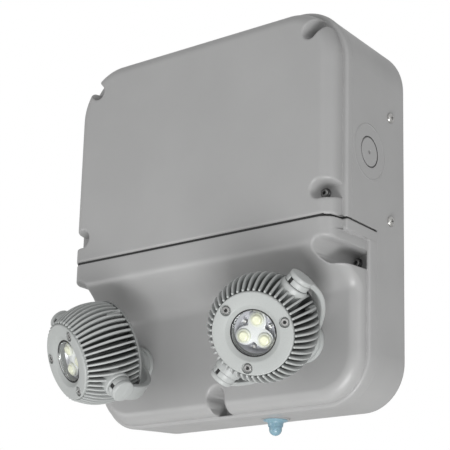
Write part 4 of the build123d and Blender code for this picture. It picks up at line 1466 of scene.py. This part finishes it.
class Housing:
    """What the housing carries outside: cover screws, side screws and the test button."""

    body = "housing"
    size = FittingSizes()
    covers = CoverSizes()

    def build(self) -> None:
        """Builds the pieces."""
        self.dress()
        UpperCover("upper_shell", "upper_cover").build()
        LowerCover("lower_shell", "lower_cover").build()
        high, low = self.covers.flange, self.covers.low_seat
        self.cover_screws("upper_screw_heads", "upper_cover_screws", high, self.size.upper_screws)
        self.cover_screws("lower_screw_heads", "lower_cover_screws", low, self.size.lower_screws)
        self.seam_shade()
        self.side_screws()
        self.knockouts()
        self.test_button()

    def dress(self) -> None:
        """Gives every CAD node that stays its procedural finish."""
        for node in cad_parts.values():
            for place in node.material_slots:
                place.material = surface(place.material.name.split(".")[0])
        LOG.info("%d CAD nodes have their finish", len(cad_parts))

    def cover_screws(self, name: str, node: str, seat: float, places: Points) -> None:
        """Builds socket screws in a cover's pockets, each on a thin washer.

        Args:
            name: The piece's name.
            node: The CAD node that it stands for.
            seat: Depth of the screws' seats from the wall.
            places: Their places across and up.
        """
        size = self.size
        piece = Piece(name)
        for x, z in places:
            where = facing(x, seat, z)
            head = socket_head(size.screw_head, size.screw_height, size.socket, size.socket_depth)
            washer = lathe([(2.2, 0.0), (4.6, 0.0), (4.6, 0.5), (4.3, 0.8), (2.2, 0.8), (2.2, 0.0)], 32)
            piece.add(head, "steel", where)
            # A black disc in each socket, painted as the shade inside it.
            piece.add(rod(size.socket, 0.0, 0.1, 12), "painted_shade_black", where @ lift(2.3))
            piece.add(washer, "head_dark", where)
            piece.add(rod(size.screw_shank, -size.screw_length, 0.1, 16), "dark_screw", where)
        piece.place(self.body, "dark_screw", node)

    def seam_shade(self) -> None:
        """Black sheets painted as the shade deep in the gap between the two covers."""
        size = self.size
        piece = Piece("seam_shade")
        for half, front in ((143.0, 113.6), (147.5, 109.0), (154.3, 96.2)):
            back = size.shade_deep - front
            outline = [(-half, -front), (half, -front), (half, back), (-half, back)]
            piece.add(prism(outline, size.shade_thick), "painted_shade_black", lift(size.shade_low))
        piece.place(self.body, "gasket")

    def wall_spot(self, side: int, depth: float, height: float) -> Matrix:
        """Finds a frame on a drafted side wall.

        Args:
            side: -1 for the left wall, 1 for the right one.
            depth: The distance from the wall's foot, along it.
            height: The place up.

        Returns:
            The frame, its Z pointing out of the wall.
        """
        across, along = math.sin(self.size.lean), math.cos(self.size.lean)
        origin = Vector((side * (self.covers.half_width + across * depth), -along * depth, height))
        return spot(origin, Vector((0, 0, 1)), Vector((side * along, across, 0.0)))

    def side_screws(self) -> None:
        """Pan-head screws in the side walls, their cross recess drawn as thin black bars of painted
        shade.
        """
        size = self.size
        piece = Piece("side_screw_heads")
        profile = [(0.0, 0.0), (4.6, 0.0), (4.6, 0.9), (4.3, 1.6), (3.6, 2.2), (2.4, 2.55), (0.0, 2.6)]
        for side in (-1, 1):
            for height in size.side_screw_heights:
                where = self.wall_spot(side, size.side_screw_depth, height)
                piece.add(lathe(profile, 40), "screw", where)
                for turn in (0.35, 0.35 + math.pi / 2):
                    # Thin black bars on the head paint the shade of the cross recess; no recess is cut.
                    bar = prism([(-2.1, -0.38), (2.1, -0.38), (2.1, 0.38), (-2.1, 0.38)], 0.12)
                    turned = where @ lift(2.5) @ Matrix.Rotation(turn, 4, "Z")
                    piece.add(soften(bar, 0.03, 1), "painted_shade_black", turned)
                piece.add(rod(size.side_shank, -size.side_length, 0.1), "screw", where)
        piece.place(self.body, "screw", "side_screws")

    def knockouts(self) -> None:
        """The faint larger ring round each knockout, and a thin black line at the knockout's edge
        painted as shade.
        """
        piece = Piece("knockout_rings")
        ring = [(23.6, -0.3), (26.4, -0.3), (25.8, 0.0), (25.4, 0.05), (24.6, 0.05), (24.2, 0.0),
                (23.6, -0.3)]
        # A thin black ring at the knockout's edge, painted shade in the gasket finish.
        shade = [(13.75, -0.3), (14.2, -0.3), (14.15, 0.02), (13.8, 0.02), (13.75, -0.3)]
        for side in (-1, 1):
            where = self.wall_spot(side, self.size.knockout_depth, self.size.knockout_height)
            piece.add(lathe(ring, 96), "housing", where)
            piece.add(lathe(shade, 96), "gasket", where)
        piece.place(self.body, "housing")

    def test_button(self) -> None:
        """The soft collar under the housing and the button that it guides."""
        where = Matrix.Translation(self.size.button_place) @ Matrix.Rotation(math.pi, 4, "X")
        profile = [
            (6.15, -5.0), (7.2, -5.0), (7.2, 0.0), (11.0, 0.0), (11.0, 0.6), (10.7, 0.9), (9.2, 1.2),
            (8.0, 1.6), (7.3, 2.3), (6.9, 3.4), (6.75, 5.3), (6.6, 5.9), (6.3, 6.0), (6.15, 5.8),
            (6.15, -5.0),
        ]
        collar = Piece("collar").add(lathe(profile), "button", where)
        collar.place(self.body, "button", "button_collar", sharp=50.0)
        radius, reach, inside = self.size.button, self.size.button_reach, -self.size.button_inside
        turns = [k * math.pi / 24 for k in range(12)]
        tip = [(0.0, inside), (radius, inside)]
        tip += [(radius * math.cos(turn), reach + radius * (math.sin(turn) - 1.0)) for turn in turns]
        plunger = Piece("plunger").add(lathe([*tip, (0.0, reach)], 64), "button", where)
        plunger.place("test_button", "button", "test_button", sharp=60.0)


def main() -> None:
    """Builds the whole scene."""
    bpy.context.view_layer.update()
    make_grain()
    make_wear_and_highlight()
    make_dust()
    PhotoCamera().create()
    Studio().create()
    Housing().build()
    for name, side in (("left", -1), ("right", 1)):
        Lamp(name, side).build()


if __name__ == "__main__":
    main()
